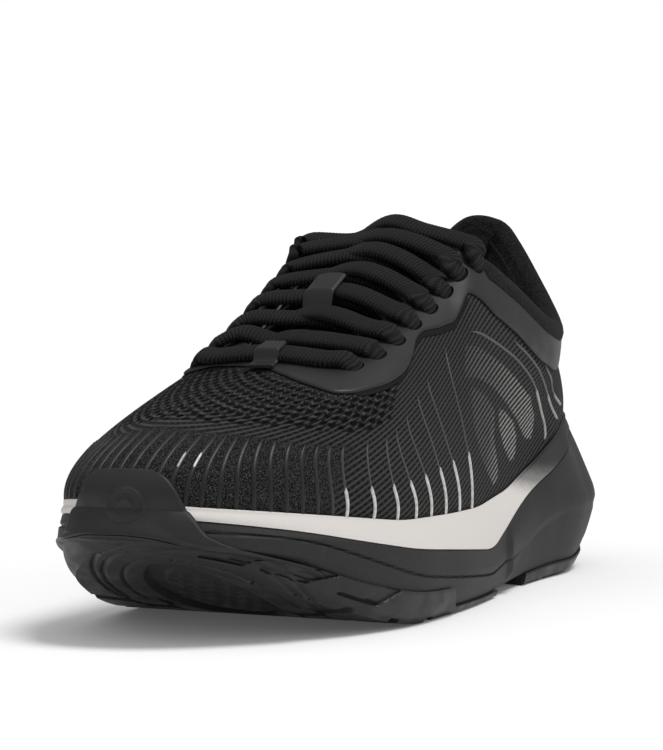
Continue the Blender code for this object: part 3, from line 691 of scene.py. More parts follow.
# The tread, seen from below. A long oval recess with a dimpled floor lies under the ball of the foot, with
# oval grooves outside it towards the toe; behind and beside it run lugs with stepped channels between them.
OVAL_CENTRE, OVAL_HALF = (2 * MM, -95 * MM), (18 * MM, 31 * MM)
OVAL_GROOVES = ((26 * MM, 33 * MM), (32 * MM, 39 * MM), (34.5 * MM, 43.5 * MM))
GROOVE, GROOVE_DEPTH, OVAL_DEPTH = 1.0 * MM, 1.0 * MM, 2.0 * MM
LUG_PITCH, CHANNEL, CHANNEL_DEPTH = 23 * MM, 2.6 * MM, 1.5 * MM
DIMPLE_PITCH = 5.2 * MM


def oval(x, y, half):
    """0 at the oval's centre and 1 on its outline."""
    return np.hypot((x - OVAL_CENTRE[0]) / half[0], (y - OVAL_CENTRE[1]) / half[1])


def under_toe(y):
    return smooth((-y / MM - 88) / 4)


def toe_grooves(x, y):
    """1 along each oval groove under the toe, 0 beside them."""
    lines = [bump_line((oval(x, y, half) - 1) * half[0], GROOVE) for half in OVAL_GROOVES]
    return np.max(lines, axis=0) * under_toe(y)


def lug_channels(x, y):
    """1 in a channel between two lugs: across the tread and stepped, each edge crisp."""
    side = np.abs(x)
    step = np.where(side > 31 * MM, 0.22, np.where(side > 20 * MM, 0.0, 0.5))
    row = (y + 0.35 * side) / LUG_PITCH + step
    off = np.abs(row - np.round(row)) * LUG_PITCH
    across = smooth((CHANNEL - off) / (0.6 * MM))
    off_line = np.minimum(np.abs(side - 31 * MM), np.abs(side - 20 * MM))
    near = smooth((2.2 * CHANNEL - off) / (0.6 * MM))
    return np.maximum(across, near * smooth((1.1 * MM - off_line) / (0.5 * MM)))


def tread_lift(x, y):
    """How far the tread's underside is cut up into the rubber at each place."""
    inside = smooth((1.0 - oval(x, y, OVAL_HALF)) / 0.06)
    panel = smooth((0.80 - oval(x - 2 * MM, y, OVAL_HALF)) / 0.05)
    row = np.round(y / DIMPLE_PITCH)
    across = (x / DIMPLE_PITCH + 0.5 * (row % 2)) % 1.0 - 0.5
    away = np.hypot(across, y / DIMPLE_PITCH - row) * DIMPLE_PITCH
    dimples = bump_line(away - 1.3 * MM, 0.7 * MM)
    channels = lug_channels(x, y) * smooth((oval(x, y, OVAL_HALF) - 1.08) / 0.04) * (1 - under_toe(y))
    recess = OVAL_DEPTH * (inside - 0.55 * panel - 0.18 * panel * dimples)
    return recess + GROOVE_DEPTH * toe_grooves(x, y) * (1 - inside) + CHANNEL_DEPTH * channels


# Where three slanted channels with a wide foot cross the turned-up edge of the lateral forefoot's rubber.
SIDE_CHANNELS = 0.069, 0.101, 0.140


def side_relief(u, h, x, y):
    """How far the rubber's turned-up edge is cut in: the oval grooves run on up the toe, and the lugs'
    channels up the sides."""
    lugs = 0
    for start in SIDE_CHANNELS:
        off = u - (start + 0.018 * (h - 0.9))
        slot = smooth((0.0058 - np.abs(off)) / 0.001) * smooth((0.36 - np.abs(h - 1.1)) / 0.06)
        foot = smooth((0.012 - np.abs(off + 0.006)) / 0.001) * smooth((0.10 - np.abs(h - 0.68)) / 0.04)
        lugs = np.maximum(lugs, np.maximum(slot, foot))
    return 0.8 * MM * toe_grooves(x, y) * smooth((1.4 - h) / 0.2) + 1.3 * MM * lugs


def lip(u, h):
    """How far the rubber stands out from the foam's wall: less above the medial side of the toe's sole."""
    medial_toe = smooth((0.16 - np.abs(u + 0.085)) / 0.05)
    return LIP * (1 - 0.6 * medial_toe * smooth((h - 0.6) / 0.5))


def turned_up(u):
    """The share of its full height to which the rubber's edge climbs: low from the arch round the heel."""
    return 1 - 0.68 * smooth((folded(u) - 0.206) / 0.012)


def tread_slab():
    """The points and faces of the full-length rubber tread: patterned underside, turned-up edge."""
    count, columns = 1200, 110
    u = np.arange(count) / count
    from_toe = signed(u)
    half = count // 2
    share = np.linspace(0, 1, columns + 1)[:, None]
    points, faces = [], []

    def ladder(z_of, ring):
        """Rows of points across the shoe between the two sides of a ring; gives the ladder's own edge."""
        first = len(points)
        for i in range(half + 1):
            row = ring[i % count] + (ring[-i % count] - ring[i % count]) * share
            row[:, 2] = z_of(row[:, 0], row[:, 1])
            points.extend(row)
        faces.extend(grid_quads(half + 1, columns + 1, False, first))
        lateral = [first + i * (columns + 1) for i in range(half + 1)]
        medial_side = [first + i * (columns + 1) + columns for i in range(half - 1, 0, -1)]
        return lateral + medial_side

    def ring(where):
        points.extend(where)
        return list(range(len(points) - count, len(points)))

    loops = [ladder(lambda x, y: tread_z(y) + tread_lift(x, y), wall(u, 0.0))]
    climb = turned_up(u)
    for h in (*np.linspace(0.06, 1.3, 22), 1.4, 1.47):
        rise = smooth(h / 0.45) * lip(from_toe, h) * (1 - 0.35 * smooth((h - 1.32) / 0.15))
        plain = wall(u, h * climb, rise)
        side = wall(u, h * climb, rise - side_relief(from_toe, h, plain[:, 0], plain[:, 1]))
        side[:, 2] += tread_lift(side[:, 0], side[:, 1]) * max(0.0, 1 - h / 0.2)
        loops.append(ring(side))
    for h in (1.47, 1.0):
        loops.append(ring(wall(u, h * climb, GAP)))
    loops.append(ladder(lambda x, y: tread_z(y) + rubber(y), wall(u, 0.45 * climb, GAP)))
    for low, high in zip(loops, loops[1:]):
        for i in range(count):
            j = (i + 1) % count
            faces.append([low[i], low[j], high[j], high[i]])
    return points, faces


def cut_pad(name, slab_mesh, cuts, finish):
    """One pad of the tread: the slab cut by planes (point, normal), keeping what lies behind each normal."""
    bm = bmesh.new()
    bm.from_mesh(slab_mesh)
    for point, normal in cuts:
        geom = bm.verts[:] + bm.edges[:] + bm.faces[:]
        bmesh.ops.bisect_plane(bm, geom=geom, plane_co=point, plane_no=normal, clear_outer=True)
        open_edges = [e for e in bm.edges if e.is_boundary]
        bmesh.ops.holes_fill(bm, edges=open_edges, sides=0)
    return finished(name, bm, bpy.data.meshes.new(name), finish, 35)


def outsole(finish):
    """The forefoot pad and the two heel pads."""
    whole = piece("whole_tread", *tread_slab(), finish)
    weld = bmesh.new()
    weld.from_mesh(whole.data)
    bmesh.ops.remove_doubles(weld, verts=weld.verts, dist=0.01 * MM)
    weld.to_mesh(whole.data)
    weld.free()
    forefoot_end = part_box("outsole_forefoot_rear")[1].y
    heel_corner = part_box("outsole_heel_lateral")[0]
    slot = heel_corner.x
    heel = ((0, heel_corner.y, 0), (0, -1, 0))
    pads = []
    for name, cuts in (
        ("outsole_forefoot", [((0, forefoot_end, 0), (0, 1, 0))]),
        ("outsole_heel_lateral_pad", [heel, ((slot, 0, 0), (-1, 0, 0))]),
        ("outsole_heel_medial_pad", [heel, ((-slot, 0, 0), (1, 0, 0))]),
    ):
        pads.append(cut_pad(name, whole.data, cuts, finish))
    bpy.data.objects.remove(whole)
    return pads


# The toe guard's two side edges, as (h, u), in h up to 4 and above that in v of the upper: 5 is v = 0.16.
GUARD_LATERAL = (
    (0.9, 0.115), (1.35, 0.105), (1.55, 0.082), (2.0, 0.067), (2.45, 0.058), (3.15, 0.050), (3.65, 0.0455),
    (4.1, 0.040), (4.5, 0.035), (4.8, 0.029), (4.95, 0.024), (5.03, 0.016),
)
GUARD_MEDIAL = (
    (0.9, -0.110), (1.35, -0.100), (1.55, -0.075), (2.0, -0.055), (2.45, -0.044), (3.15, -0.039),
    (3.8, -0.038), (4.1, -0.034), (4.45, -0.028), (4.8, -0.025), (4.97, -0.021), (5.05, -0.014),
)
# The crease where the guard's front face turns under, as (u, h).
GUARD_CREASE = (
    (-0.09, 0.7), (-0.064, 0.9), (-0.03, 2.2), (-0.018, 2.75), (0.008, 2.95), (0.022, 2.7), (0.034, 2.2),
    (0.05, 1.2), (0.07, 1.0),
)
GUARD_TOP, GUARD_V = 5.06, 0.16  # the guard's top edge, and the v for each step of its height above 4
GUARD_AROUND, GUARD_CLIMB, GUARD_EDGE = 560, 95, 1.6  # mm for one turn of u and one of v; its edge's rounding


def on_toe(u, height, d):
    """A point of the toe's outer face at a height that runs up the sole's wall and on up the upper."""
    low = wall(u, np.minimum(height, 4.0), d + 0.1 * MM)
    high = layer(u, np.clip(height - 4.0, 0, 1.2) * GUARD_V, d + 0.1 * MM)
    share = smooth((height - 3.6) / 0.6)[:, None]
    return low * (1 - share) + high * share


def toe_guard(finish):
    """The rubber that climbs the front of the shoe, with a small raised oval on it."""
    outer, inner = [], []
    share = 0.5 - 0.5 * np.cos(np.linspace(0, math.pi, 150))
    share = 0.5 * share + 0.5 * np.linspace(0, 1, 150)
    for height in (*np.linspace(0.9, 4.9, 110), *np.linspace(4.91, 5.05, 8)):
        left, right = eased(GUARD_MEDIAL, height, 0.08), eased(GUARD_LATERAL, height, 0.08)
        u = left + (right - left) * share
        h = np.full_like(u, height)
        side = np.minimum(u - left, right - u) * GUARD_AROUND / GUARD_EDGE
        top = (GUARD_TOP - height) * GUARD_V * GUARD_CLIMB / GUARD_EDGE
        round_edge = rounding(np.minimum(side, top))
        rise = smooth((height - 0.9) / 0.5)
        above_crease = h - eased(GUARD_CREASE, u)
        crease = bump_line(above_crease, 0.10) * smooth((0.075 - np.abs(u + 0.008)) / 0.02)
        brow = bump_line(above_crease - 0.25, 0.7) * smooth((0.06 - np.abs(u)) / 0.03)
        hollow = bump_line(h - 3.75, 0.75) * smooth((0.030 - np.abs(u - 0.004)) / 0.01)
        away = np.hypot((u - 0.006) / 0.0115, (h - 4.0) / 0.46)
        mark = bump_line(away - 1.0, 0.16) + 0.7 * bump_line(away - 0.45, 0.16)
        solid = smooth(round_edge * 2 - 1)
        thick = (0.9 + 0.9 * smooth((h - 2.2) / 1.5)) * MM * round_edge * rise
        thick = thick + solid * (0.55 * brow - 0.5 * hollow - 0.45 * crease + 0.55 * mark) * MM
        outer.append(on_toe(u, h, thick + lip(u, h) * (1 - smooth((h - 1.3) / 0.6)) * rise))
        inner.append(on_toe(u, h, -0.05 * MM))
    return slab("toe_guard", outer, inner, finish, crease_deg=60)


def sockliner(finish):
    """The footbed, dished a little, with rounded edges."""
    u = ring_u(480)
    low = 2.1 * MM
    rings = [inset_ring(u, 12 * MM, FLOOR_Z, low), inset_ring(u, 7 * MM, FLOOR_Z, low)]
    for inset, lift in ((7, 6.2), (7.6, 6.7), (8.6, 6.8), (11, 6.2), (16, 5.6), (22, 5.4)):
        rings.append(inset_ring(u, inset * MM, FLOOR_Z, lift * MM))
    return ring_loft("footbed", rings, finish)


# ---------------------------------------------------------------- the upper


# The film's lower edge on each side, as (u from the toe, v), and its upper edge under the collar.
LATERAL_FILM = (
    (0, 0.885), (0.010, 0.88), (0.035, 0.817), (0.065, 0.717), (0.087, 0.633), (0.102, 0.608), (0.130, 0.605),
    (0.146, 0.625), (0.154, 0.658), (0.162, 0.75), (0.172, 0.77), (0.192, 0.725), (0.214, 0.70),
    (0.224, 0.725), (0.236, 0.775), (0.246, 0.745), (0.267, 0.70), (0.294, 0.70), (0.344, 0.675),
    (0.367, 0.642), (0.5, 0.62),
)
MEDIAL_FILM = (
    (0, 0.885), (0.031, 0.885), (0.062, 0.85), (0.080, 0.79), (0.097, 0.725), (0.120, 0.705), (0.140, 0.715),
    (0.162, 0.77), (0.172, 0.785), (0.214, 0.72), (0.236, 0.775), (0.246, 0.745), (0.267, 0.70),
    (0.344, 0.675), (0.367, 0.642), (0.5, 0.62),
)
FILM_TOP = ((0, 0.998), (0.250, 0.998), (0.262, 0.845), (0.30, 0.865), (0.35, 0.88), (0.5, 0.88))
ALONG_THROAT = Vector((0, 77, 33)).normalized()
HOLES = tuple((0.097 + 0.0225 * k, 0.78 + 0.0145 * k) for k in range(8))
CUTTER = 3.4 * MM  # radius of a lace hole's cutter, before it is drawn out into a slot


def film_low(u):
    """The v of the film's lower edge."""
    return np.where((u % 1.0) < 0.5, at_edge(LATERAL_FILM, u), at_edge(MEDIAL_FILM, u))


# The open mesh over the toes, in mm: columns of holes, each column staggered against the next.
VENT_COLUMN, VENT_PITCH, VENT_HALF, VENT_DEPTH = 3.3, 4.9, (1.15, 1.50), 0.75 * MM
# The mm that one step of u takes at v = 0.4, what it loses from there up, and the mm in one step of v.
VENT_AROUND, VENT_NARROWING, VENT_CLIMB = 470.0, 210.0, 124.0
HOLE_AROUND, HOLE_CLIMB, HOLE_RADIUS = 400.0, 70.0, 3.6  # the same round the lace holes, and their radius
KNIT_AROUND = 600  # mm for one turn of u along the knit's cords
TWILL_SLOPE = 0.46  # the knit's cords climb this much for each step towards the heel
# The printed leaves of the side graphic: lower and upper edges as (u, v), and the print's strength as
# (u, share).
LEAVES = (
    (((0.2292, 0.46), (0.2521, 0.442), (0.275, 0.417), (0.2979, 0.375), (0.3208, 0.317), (0.3458, 0.192),
      (0.3563, 0.17)),
     ((0.2292, 0.583), (0.2562, 0.55), (0.2833, 0.533), (0.3063, 0.508), (0.3312, 0.467), (0.3521, 0.333),
      (0.3563, 0.25)),
     ((0.229, 0.10), (0.27, 0.20), (0.32, 0.55), (0.356, 0.75))),
    (((0.2885, 0.32), (0.2917, 0.275), (0.3042, 0.20), (0.3229, 0.117), (0.3295, 0.12)),
     ((0.2885, 0.355), (0.2946, 0.352), (0.3146, 0.317), (0.325, 0.25), (0.3295, 0.175)),
     ((0.288, 0.45), (0.305, 0.65), (0.33, 0.70))),
    (((0.2396, 0.415), (0.2437, 0.35), (0.2521, 0.267), (0.2667, 0.175), (0.2938, 0.05), (0.301, 0.06)),
     ((0.2396, 0.43), (0.2646, 0.395), (0.2800, 0.35), (0.2850, 0.25), (0.2960, 0.158), (0.301, 0.10)),
     ((0.239, 0.10), (0.275, 0.16), (0.294, 0.50), (0.301, 0.55))),
)


def printed(u, v):
    """How strongly the side graphic is printed at each place."""
    side = folded(u)
    total = np.zeros_like(side)
    for low, high, strength in LEAVES:
        edges = [np.interp(side, *np.array(table).T) for table in (low, high)]
        across = np.array(low)[[0, -1], 0]
        inside = smooth((v - edges[0]) / 0.012) * smooth((edges[1] - v) / 0.012)
        inside = inside * (side > across[0]) * (side < across[1])
        total = np.maximum(total, inside * np.interp(side, *np.array(strength).T))
    return total


def vents(u, v):
    """1 in the middle of an open hole of the mesh over the toes, 0 away from it."""
    low = np.interp(folded(u), (0, 0.05, 0.12, 0.15), (0.47, 0.44, 0.36, 0.40))
    mask = smooth((v - low) / 0.05) * smooth((0.150 - folded(u)) / 0.02)
    mask = mask * smooth((film_low(u) - 0.012 - v) / 0.02)
    around = VENT_AROUND - VENT_NARROWING * np.clip(v - 0.4, 0, 1)
    column = signed(u) * VENT_AROUND / VENT_COLUMN
    across = (column - np.round(column)) * VENT_COLUMN * around / VENT_AROUND
    row = v * VENT_CLIMB / VENT_PITCH + 0.5 * (np.round(column) % 2)
    lengthwise = (row - np.round(row)) * VENT_PITCH
    slant = across + 0.25 * lengthwise
    away = (slant / VENT_HALF[0]) ** 2 + (lengthwise / VENT_HALF[1]) ** 2
    return smooth(1.35 - away) * mask


def lace_dents(u, v):
    """1 under each lace hole of the film, 0 away from it."""
    dents = 0
    for hole_u, hole_v in HOLES:
        away = np.hypot((folded(u) - hole_u) * HOLE_AROUND, (v - hole_v) * HOLE_CLIMB)
        dents = np.maximum(dents, smooth((HOLE_RADIUS - away) / 1.0))
    return dents


def knit(finish):
    """The knitted upper: one sock of twill, with the mesh over the toes as shallow dents painted with shade,
    and dense knit round them.
    """
    u = ring_u()
    side = folded(u)
    low, high = 0.002, at_edge(((0, 0.995), (0.24, 0.995), (0.27, 0.93), (0.5, 0.93)), u)
    outer, kinds, prints = [], [], []
    for t in np.linspace(0, 1, 170):
        v = low + (high - low) * t
        vent, dent = vents(u, v), lace_dents(u, v)
        dense = smooth((0.128 - side) / 0.02) * smooth((rib_top(side) + 0.03 - v) / 0.05)
        tuck = 0.5 * MM * smooth((0.03 - v) / 0.03)
        outer.append(layer(u, v, -tuck - VENT_DEPTH * vent - 1.3 * MM * dent))
        # Vents and lace dents carry the material's painted hole shade.
        kinds.append(np.maximum(vent, dent) - dense * (1 - vent))
        prints.append(printed(u, v))
    outer = np.array(outer)
    steps = np.linalg.norm(np.diff(outer, axis=0), axis=2) / MM
    climbed = np.concatenate([np.zeros((1, len(u))), np.cumsum(steps, axis=0)])
    foot_z = outer[:1, :, 2] / MM
    across = (climbed + foot_z - TWILL_SLOPE * outer[:, :, 1] / MM) / math.hypot(1, TWILL_SLOPE)
    lengthwise = side * KNIT_AROUND + TWILL_SLOPE * climbed
    form = np.stack([across, lengthwise, np.array(kinds)], -1)
    inner = [layer(u[::4], low + (high[::4] - low) * t, -KNIT) for t in np.linspace(0, 1, 30)]
    made = slab("upper_knit", outer, inner, finish, closed=True, form=form, crease_deg=80)
    ink = made.data.attributes.new("ink", "FLOAT", "POINT")
    shades = np.zeros(len(made.data.vertices), np.float32)
    shades[:outer.size // 3] = np.array(prints).ravel()
    ink.data.foreach_set("value", shades)
    return made


def lace_hole(k, lateral):
    """The u and v of a lace hole, counted from the front."""
    u, v = HOLES[k]
    return u if lateral else 1 - u, v


def hole_frame(k, lateral):
    """The place of a lace hole, the normal there, and the direction straight across to the throat."""
    u, v = lace_hole(k, lateral)
    at, above = (Vector(layer([u], v, d)[0]) for d in (0, MM))
    normal = (above - at).normalized()
    inward = normal.cross(ALONG_THROAT).normalized()
    return at, normal, inward if inward.x * at.x < 0 else -inward


def hole_cutters():
    """Round-ended slots through the film, one for each lace hole, as one object."""
    bm = bmesh.new()
    for lateral, k in itertools.product((True, False), range(len(HOLES))):
        at, normal, inward = hole_frame(k, lateral)
        turned = Matrix((inward, normal.cross(inward), normal)).transposed().to_4x4()
        placed = Matrix.Translation(at) @ turned @ Matrix.Diagonal((0.62, 1.26, 1, 1))
        bmesh.ops.create_cone(
            bm, cap_ends=True, segments=28, radius1=CUTTER, radius2=CUTTER, depth=14 * MM, matrix=placed
        )
    mesh = bpy.data.meshes.new("hole_cutters")
    bm.to_mesh(mesh)
    bm.free()
    return add_object("hole_cutters", mesh)


def apply_modifiers(obj):
    graph = bpy.context.evaluated_depsgraph_get()
    made = bpy.data.meshes.new_from_object(obj.evaluated_get(graph))
    obj.modifiers.clear()
    obj.data = made


def film(finish):
    """The smooth film over the eyestay and round the heel, with its lace holes."""
    us = np.linspace(-0.4995, 0.4995, 760)
    top = at_edge(FILM_TOP, us, 0.0025)
    made = rounded_sheet("eyestay_film", us, film_low(us), top, 1.5 * GAP, FILM, 26, finish)
    cutter = hole_cutters()
    made.modifiers.new("holes", "BOOLEAN").object = cutter
    apply_modifiers(made)
    bpy.data.objects.remove(cutter)
    sharpen(made.data, 50)
    return made


def film_border(name, side, finish):
    """The darker pressed band that runs just outside the film, from the eyestay's front to its rear notch."""
    us = side * np.linspace(0.100, 0.2355, 150)
    high = film_low(us) + 0.006
    low = high - 0.006 - 0.030 * smooth((np.abs(us) - 0.100) / 0.012)
    return rounded_sheet(name, us, low, high, 0.02 * MM, 0.38 * MM, 7, finish, edge=0.6 * MM)


def padding(u, v):
    """The thickness that the collar's foam adds."""
    full = COLLAR_PAD * smooth((folded(u) - 0.26) / 0.07)
    return full * smooth((v - 0.55) / 0.25) * (1 - 0.5 * smooth((v - 0.85) / 0.15))


def collar(finish):
    """The padded collar: a soft roll over the top line, from the film outside to the lining inside."""
    us = np.concatenate([np.linspace(0.247, 0.30, 40), np.linspace(0.302, 0.698, 300),
                         np.linspace(0.70, 0.753, 40)])
    full = smooth((folded(us) - 0.245) / 0.03)
    columns = []
    # The outer face, swelling out above the film.
    for v, d in ((0.835, 0.1), (0.85, 0.8), (0.875, 1.5), (0.91, 1.9), (0.945, 1.7)):
        columns.append(layer(us, v, d * MM * full))
    # The roll over the top.
    centre_v, half = 0.955, (LINING_OUT + LINING + 0.5 * COLLAR_PAD * full) / 2 - 0.2 * MM
    centre, normal = layer(us, centre_v, -half + 1.5 * MM * full), normal_at(us, centre_v)
    climb = unit(upper(us, 1.0) - upper(us, centre_v - 0.03))
    for degrees in np.arange(10, 181, 17):
        angle = math.radians(degrees)
        reach = (half * (1 - 0.15 * math.sin(angle)))[:, None]
        columns.append(centre + normal * reach * math.cos(angle) + climb * reach * math.sin(angle))
    # The inner face, down to the lining.
    for v in (0.90, 0.84, 0.78, 0.72, 0.66):
        columns.append(layer(us, v, -LINING_OUT - LINING - 0.4 * MM - 1.12 * padding(us, v)))
    for v in (0.66, 0.75, 0.835):
        columns.append(layer(us, v, -KNIT_IN - 0.4 * MM))
    return sweep("collar", np.array(columns).transpose(1, 0, 2), finish)


def lining(finish):
    """The cloth inside the shoe, padded out round the collar."""
    u = ring_u(480)
    top = at_edge(((0, 0.60), (0.10, 0.60), (0.25, 0.66), (0.30, 0.95), (0.5, 0.95)), u)
    outer, inner = [], []
    for t in np.linspace(0, 1, 40):
        v = 0.07 + (top - 0.07) * t
        inside = -LINING_OUT - padding(u, v)
        outer.append(layer(u, v, inside))
        inner.append(layer(u, v, inside - LINING))
    return slab("inner_lining", outer, inner, finish, closed=True)


def heel_strip(finish):
    """A smooth pull strip up the middle of the heel."""
    us = 0.5 + np.linspace(-0.030, 0.030, 40)
    return rounded_sheet("heel_strip", us, 0.46, 0.865, FILM_OUT + 0.05 * MM, FILM, 30, finish)


# ---------------------------------------------------------------- lines and graphic on the knit


# For the rib that starts at each u on the feather line, where it ends.
RIB_FEET = (
    0, 0.040, 0.050, 0.0667, 0.0833, 0.10, 0.1187, 0.1375, 0.1625, 0.1854, 0.2042, 0.2208, 0.2396, 0.2562,
)
RIB_TOP_U = (
    0, 0.0375, 0.0437, 0.0563, 0.0708, 0.0875, 0.1042, 0.122, 0.1417, 0.150, 0.1583, 0.1667, 0.1771, 0.200,
)
RIB_TOP_V = (0.43, 0.39, 0.39, 0.375, 0.355, 0.33, 0.315, 0.32, 0.34, 0.38, 0.43, 0.50, 0.545, 0.62)
BRIGHT_START = 0.1275  # the u of the first rib with a bright foot


def rib_top(u):
    """The v at which the ribs end at this u."""
    return np.interp(u, RIB_TOP_U, RIB_TOP_V)


def rib_line(foot_u, side, low_share, high_share, count):
    """The path of the raised rib that starts at this u on the feather line: up, then leaning to the toe."""
    top_u, top_v = np.interp(foot_u, RIB_FEET, RIB_TOP_U), np.interp(foot_u, RIB_FEET, RIB_TOP_V)
    t = np.linspace(low_share, high_share, count)
    lean = 0.6 * smooth(t) + 0.4 * t**1.5
    bow = 0.0012 * smooth((foot_u - 0.11) / 0.03)
    us = foot_u + (top_u - foot_u) * lean + bow * np.sin(math.pi * np.minimum(t / 0.4, 1))
    return side * us, top_v * t + 0.002


def taper(count):
    """Shares of a line's width along it: both ends run out, the far one more slowly."""
    t = np.linspace(0, 1, count)
    return 0.25 + 0.75 * smooth(t / 0.08) * smooth((1 - t) / 0.12)


def rib_lines():
    """Every rib, and two painted highlight dashes on the lateral toe ribs, as lines for marks(): (us, vs,
    half widths, crown, shade).
    """
    lines = []
    soft = [0.0088 * (k + 0.5) for k in range(14)]
    bright = [BRIGHT_START + 0.01835 * k for k in range(8)]
    for side in (1, -1):
        for foot in soft + bright:
            thin = smooth((foot - 0.10) / 0.05)
            us, vs = rib_line(foot, side, 0.0, 1.0, 70)
            width, crown = (0.70 - 0.34 * thin) * MM, (0.34 - 0.08 * thin) * MM
            lines.append((us, vs, width * taper(70), crown, 0.10 * thin))
            if foot in bright:
                share = (0.13 + 0.08 * (foot - BRIGHT_START) / 0.128) / vs[-1]
                us, vs = rib_line(foot, side, 0.0, share, 40)
                lines.append((us, vs, 0.60 * MM * taper(40), 0.62 * MM, 0.95))
    # Painted highlights: two short bright dashes on lateral toe ribs, standing in for light caught on the
    # ribs, not mirrored to the medial side.
    for foot, low, high, shade in ((0.0308, 0.48, 0.68, 0.55), (0.0396, 0.50, 0.70, 0.85)):
        us, vs = rib_line(foot, 1, low, high, 16)
        lines.append((us, vs, 0.45 * MM * taper(16), 0.60 * MM, shade))
    return lines


def curve_through(points, count):
    """Points along a smooth open curve through these (u, v) points."""
    points = np.array(points, float)
    t = np.linspace(0, len(points) - 1, count)
    i = np.minimum(t.astype(int), len(points) - 2)
    ends = np.vstack([2 * points[0] - points[1], points, 2 * points[-1] - points[-2]])
    return catmull_rom(*(ends[i + k] for k in range(4)), (t - i)[:, None]).T


# Plain arcs round the heel, as (u, v) points, and how bright their lower part is.
ARCS = (
    (((0.2354, 0.617), (0.2604, 0.597), (0.2875, 0.592), (0.3104, 0.58), (0.3292, 0.542), (0.3521, 0.425),
      (0.3770, 0.242), (0.3854, 0.117), (0.384, 0.075)), 0.5),
    (((0.2938, 0.658), (0.3208, 0.650), (0.3438, 0.583), (0.3792, 0.392), (0.4021, 0.183), (0.408, 0.12)),
     0.45),
    (((0.3417, 0.675), (0.3729, 0.542), (0.4062, 0.275), (0.42, 0.17)), 0.40),
)


def graphic_lines():
    """Plain arcs on both sides of the heel."""
    lines = []
    for side in (1, -1):
        for points, glow in ARCS:
            us, vs = curve_through(points, 90)
            lines.append((side * us, vs, 0.50 * MM * taper(90), 0.40 * MM, 0.10))
            lower = slice(48, 88)
            lines.append((side * us[lower], vs[lower], 0.75 * MM * taper(40), 0.46 * MM, glow))
    return lines


def marks(name, lines, finish):
    """Raised strips on the upper, their shades held in the form attribute."""
    points, faces, form = [], [], []
    for us, vs, widths, crown, shade in lines:
        middle, normal = upper(us, vs), normal_at(us, vs)
        across = unit(np.cross(normal, np.gradient(middle, axis=0))) * widths[:, None]
        arch = [across * math.cos(a) + normal * crown * math.sin(a) for a in np.linspace(0, math.pi, 6)]
        section = middle + np.array(arch + [-0.25 * MM * normal])
        faces += tube_faces(len(us), len(section), len(points))
        points.extend(section.transpose(1, 0, 2).reshape(-1, 3))
        form += [(shade, 0, 0)] * (len(points) - len(form))
    return piece(name, points, faces, finish, form)


# ---------------------------------------------------------------- tongue


# Along the tongue's middle, in mm: y, the height z and half its width.
TONGUE_LINE = (
    (-50, 70, 13), (-36, 80, 17), (-18, 90, 20), (0, 99, 21), (18, 109, 20), (34, 116, 19), (44, 121, 18),
    (49, 125, 16),
)
TONGUE_X, TONGUE_THICK, TONGUE_FALL, TONGUE_CREST = -2 * MM, 4.5 * MM, 0.95, 8 * MM
QUILT = 9 * MM
PATCH_Y, PATCH_X, PATCH_HALF_WIDTH, PATCH_STAND = (-14, 2), -3.8 * MM, 5.3 * MM, 6.6 * MM


def tongue_z(x, y):
    """The height of the tongue's upper face."""
    ys, zs, _ = np.array(TONGUE_LINE, float).T * MM
    return np.interp(y, ys, zs) - TONGUE_FALL * (np.hypot(x - TONGUE_X, TONGUE_CREST) - TONGUE_CREST)


def across_rows(y, count, power):
    """The rows' y as a column, shares from -1 to 1 across a row, and how full the thickness is there."""
    share = np.sin(np.linspace(-math.pi / 2, math.pi / 2, count))
    return y[:, None], share, np.sqrt(np.clip(1 - np.abs(share) ** power, 0, 1))


def sheet(x, y, z):
    """A grid of points from coordinates that stretch over each other."""
    return np.stack(np.broadcast_arrays(x, y, z), -1)


def tongue(finish):
    """The padded tongue, its edges rounded, with shallow quilting lines across it."""
    ys, _, widths = np.array(TONGUE_LINE, float).T * MM
    y, share, rim = across_rows(np.linspace(ys[0], ys[-1], 110), 56, 6)
    x = TONGUE_X + share * np.interp(y, ys, widths)
    rim = rim * rounding((ys[-1] - y) / (5 * MM))
    quilt = 0.35 * MM * bump_line((y / QUILT - np.round(y / QUILT)) * QUILT, 1.4 * MM)
    middle = tongue_z(x, y) - TONGUE_THICK / 2
    half = (TONGUE_THICK / 2 - 0.1 * MM) * rim
    outer = sheet(x, y, middle + half - quilt * rim)
    inner = sheet(x, y, middle - half - 0.02 * MM)
    return slab("padded_tongue", outer, inner, finish)


def tongue_patch(finish):
    """The loop of film on the middle of the tongue, standing over the lace that runs through it."""
    y, share, rim = across_rows(np.linspace(*PATCH_Y, 60) * MM, 40, 10)
    x = PATCH_X + share * PATCH_HALF_WIDTH
    near = np.minimum(y - y[0], y[-1] - y) / MM
    rim = rim * np.sqrt(np.minimum(1.0, 0.15 + near))
    risen = smooth(near / 3.4)
    flat = 0.6 * risen
    z = tongue_z(x, y) * (1 - flat) + tongue_z(TONGUE_X, y) * flat + PATCH_STAND * risen + GAP / 2
    return slab("tongue_loop", sheet(x, y, z + 0.9 * MM * rim), sheet(x, y, z), finish)


# ---------------------------------------------------------------- laces


LACE_HALF, LACE_FLAT = 4.2 * MM, 1.6 * MM  # half the lace's width and half its thickness
LACE_SIDES = 20
LACE_OVER = FILM_OUT + 0.1 * MM + LACE_FLAT
LACE_UNDER = -(KNIT_IN + FILM + 2 * GAP + LACE_FLAT)
BAR_V = 0.935
LOW_LIFT, HIGH_LIFT = 1.9 * MM, 4.0 * MM  # of the two crossing strands, above the tongue
# Each end's way over the tongue, as (share of the way out, step back, rise), and down behind the other side's
# film, as (step in u, v, depth).
TAIL_OVER = ((0.45, 1.5 * MM, 7.5 * MM), (0, 3 * MM, 1.8 * MM), (-0.5, 3 * MM, 0.6 * MM))
TAIL_TUCK = ((0.012, 0.90, 9 * MM), (0.03, 0.84, 11 * MM), (0.05, 0.78, 12 * MM))


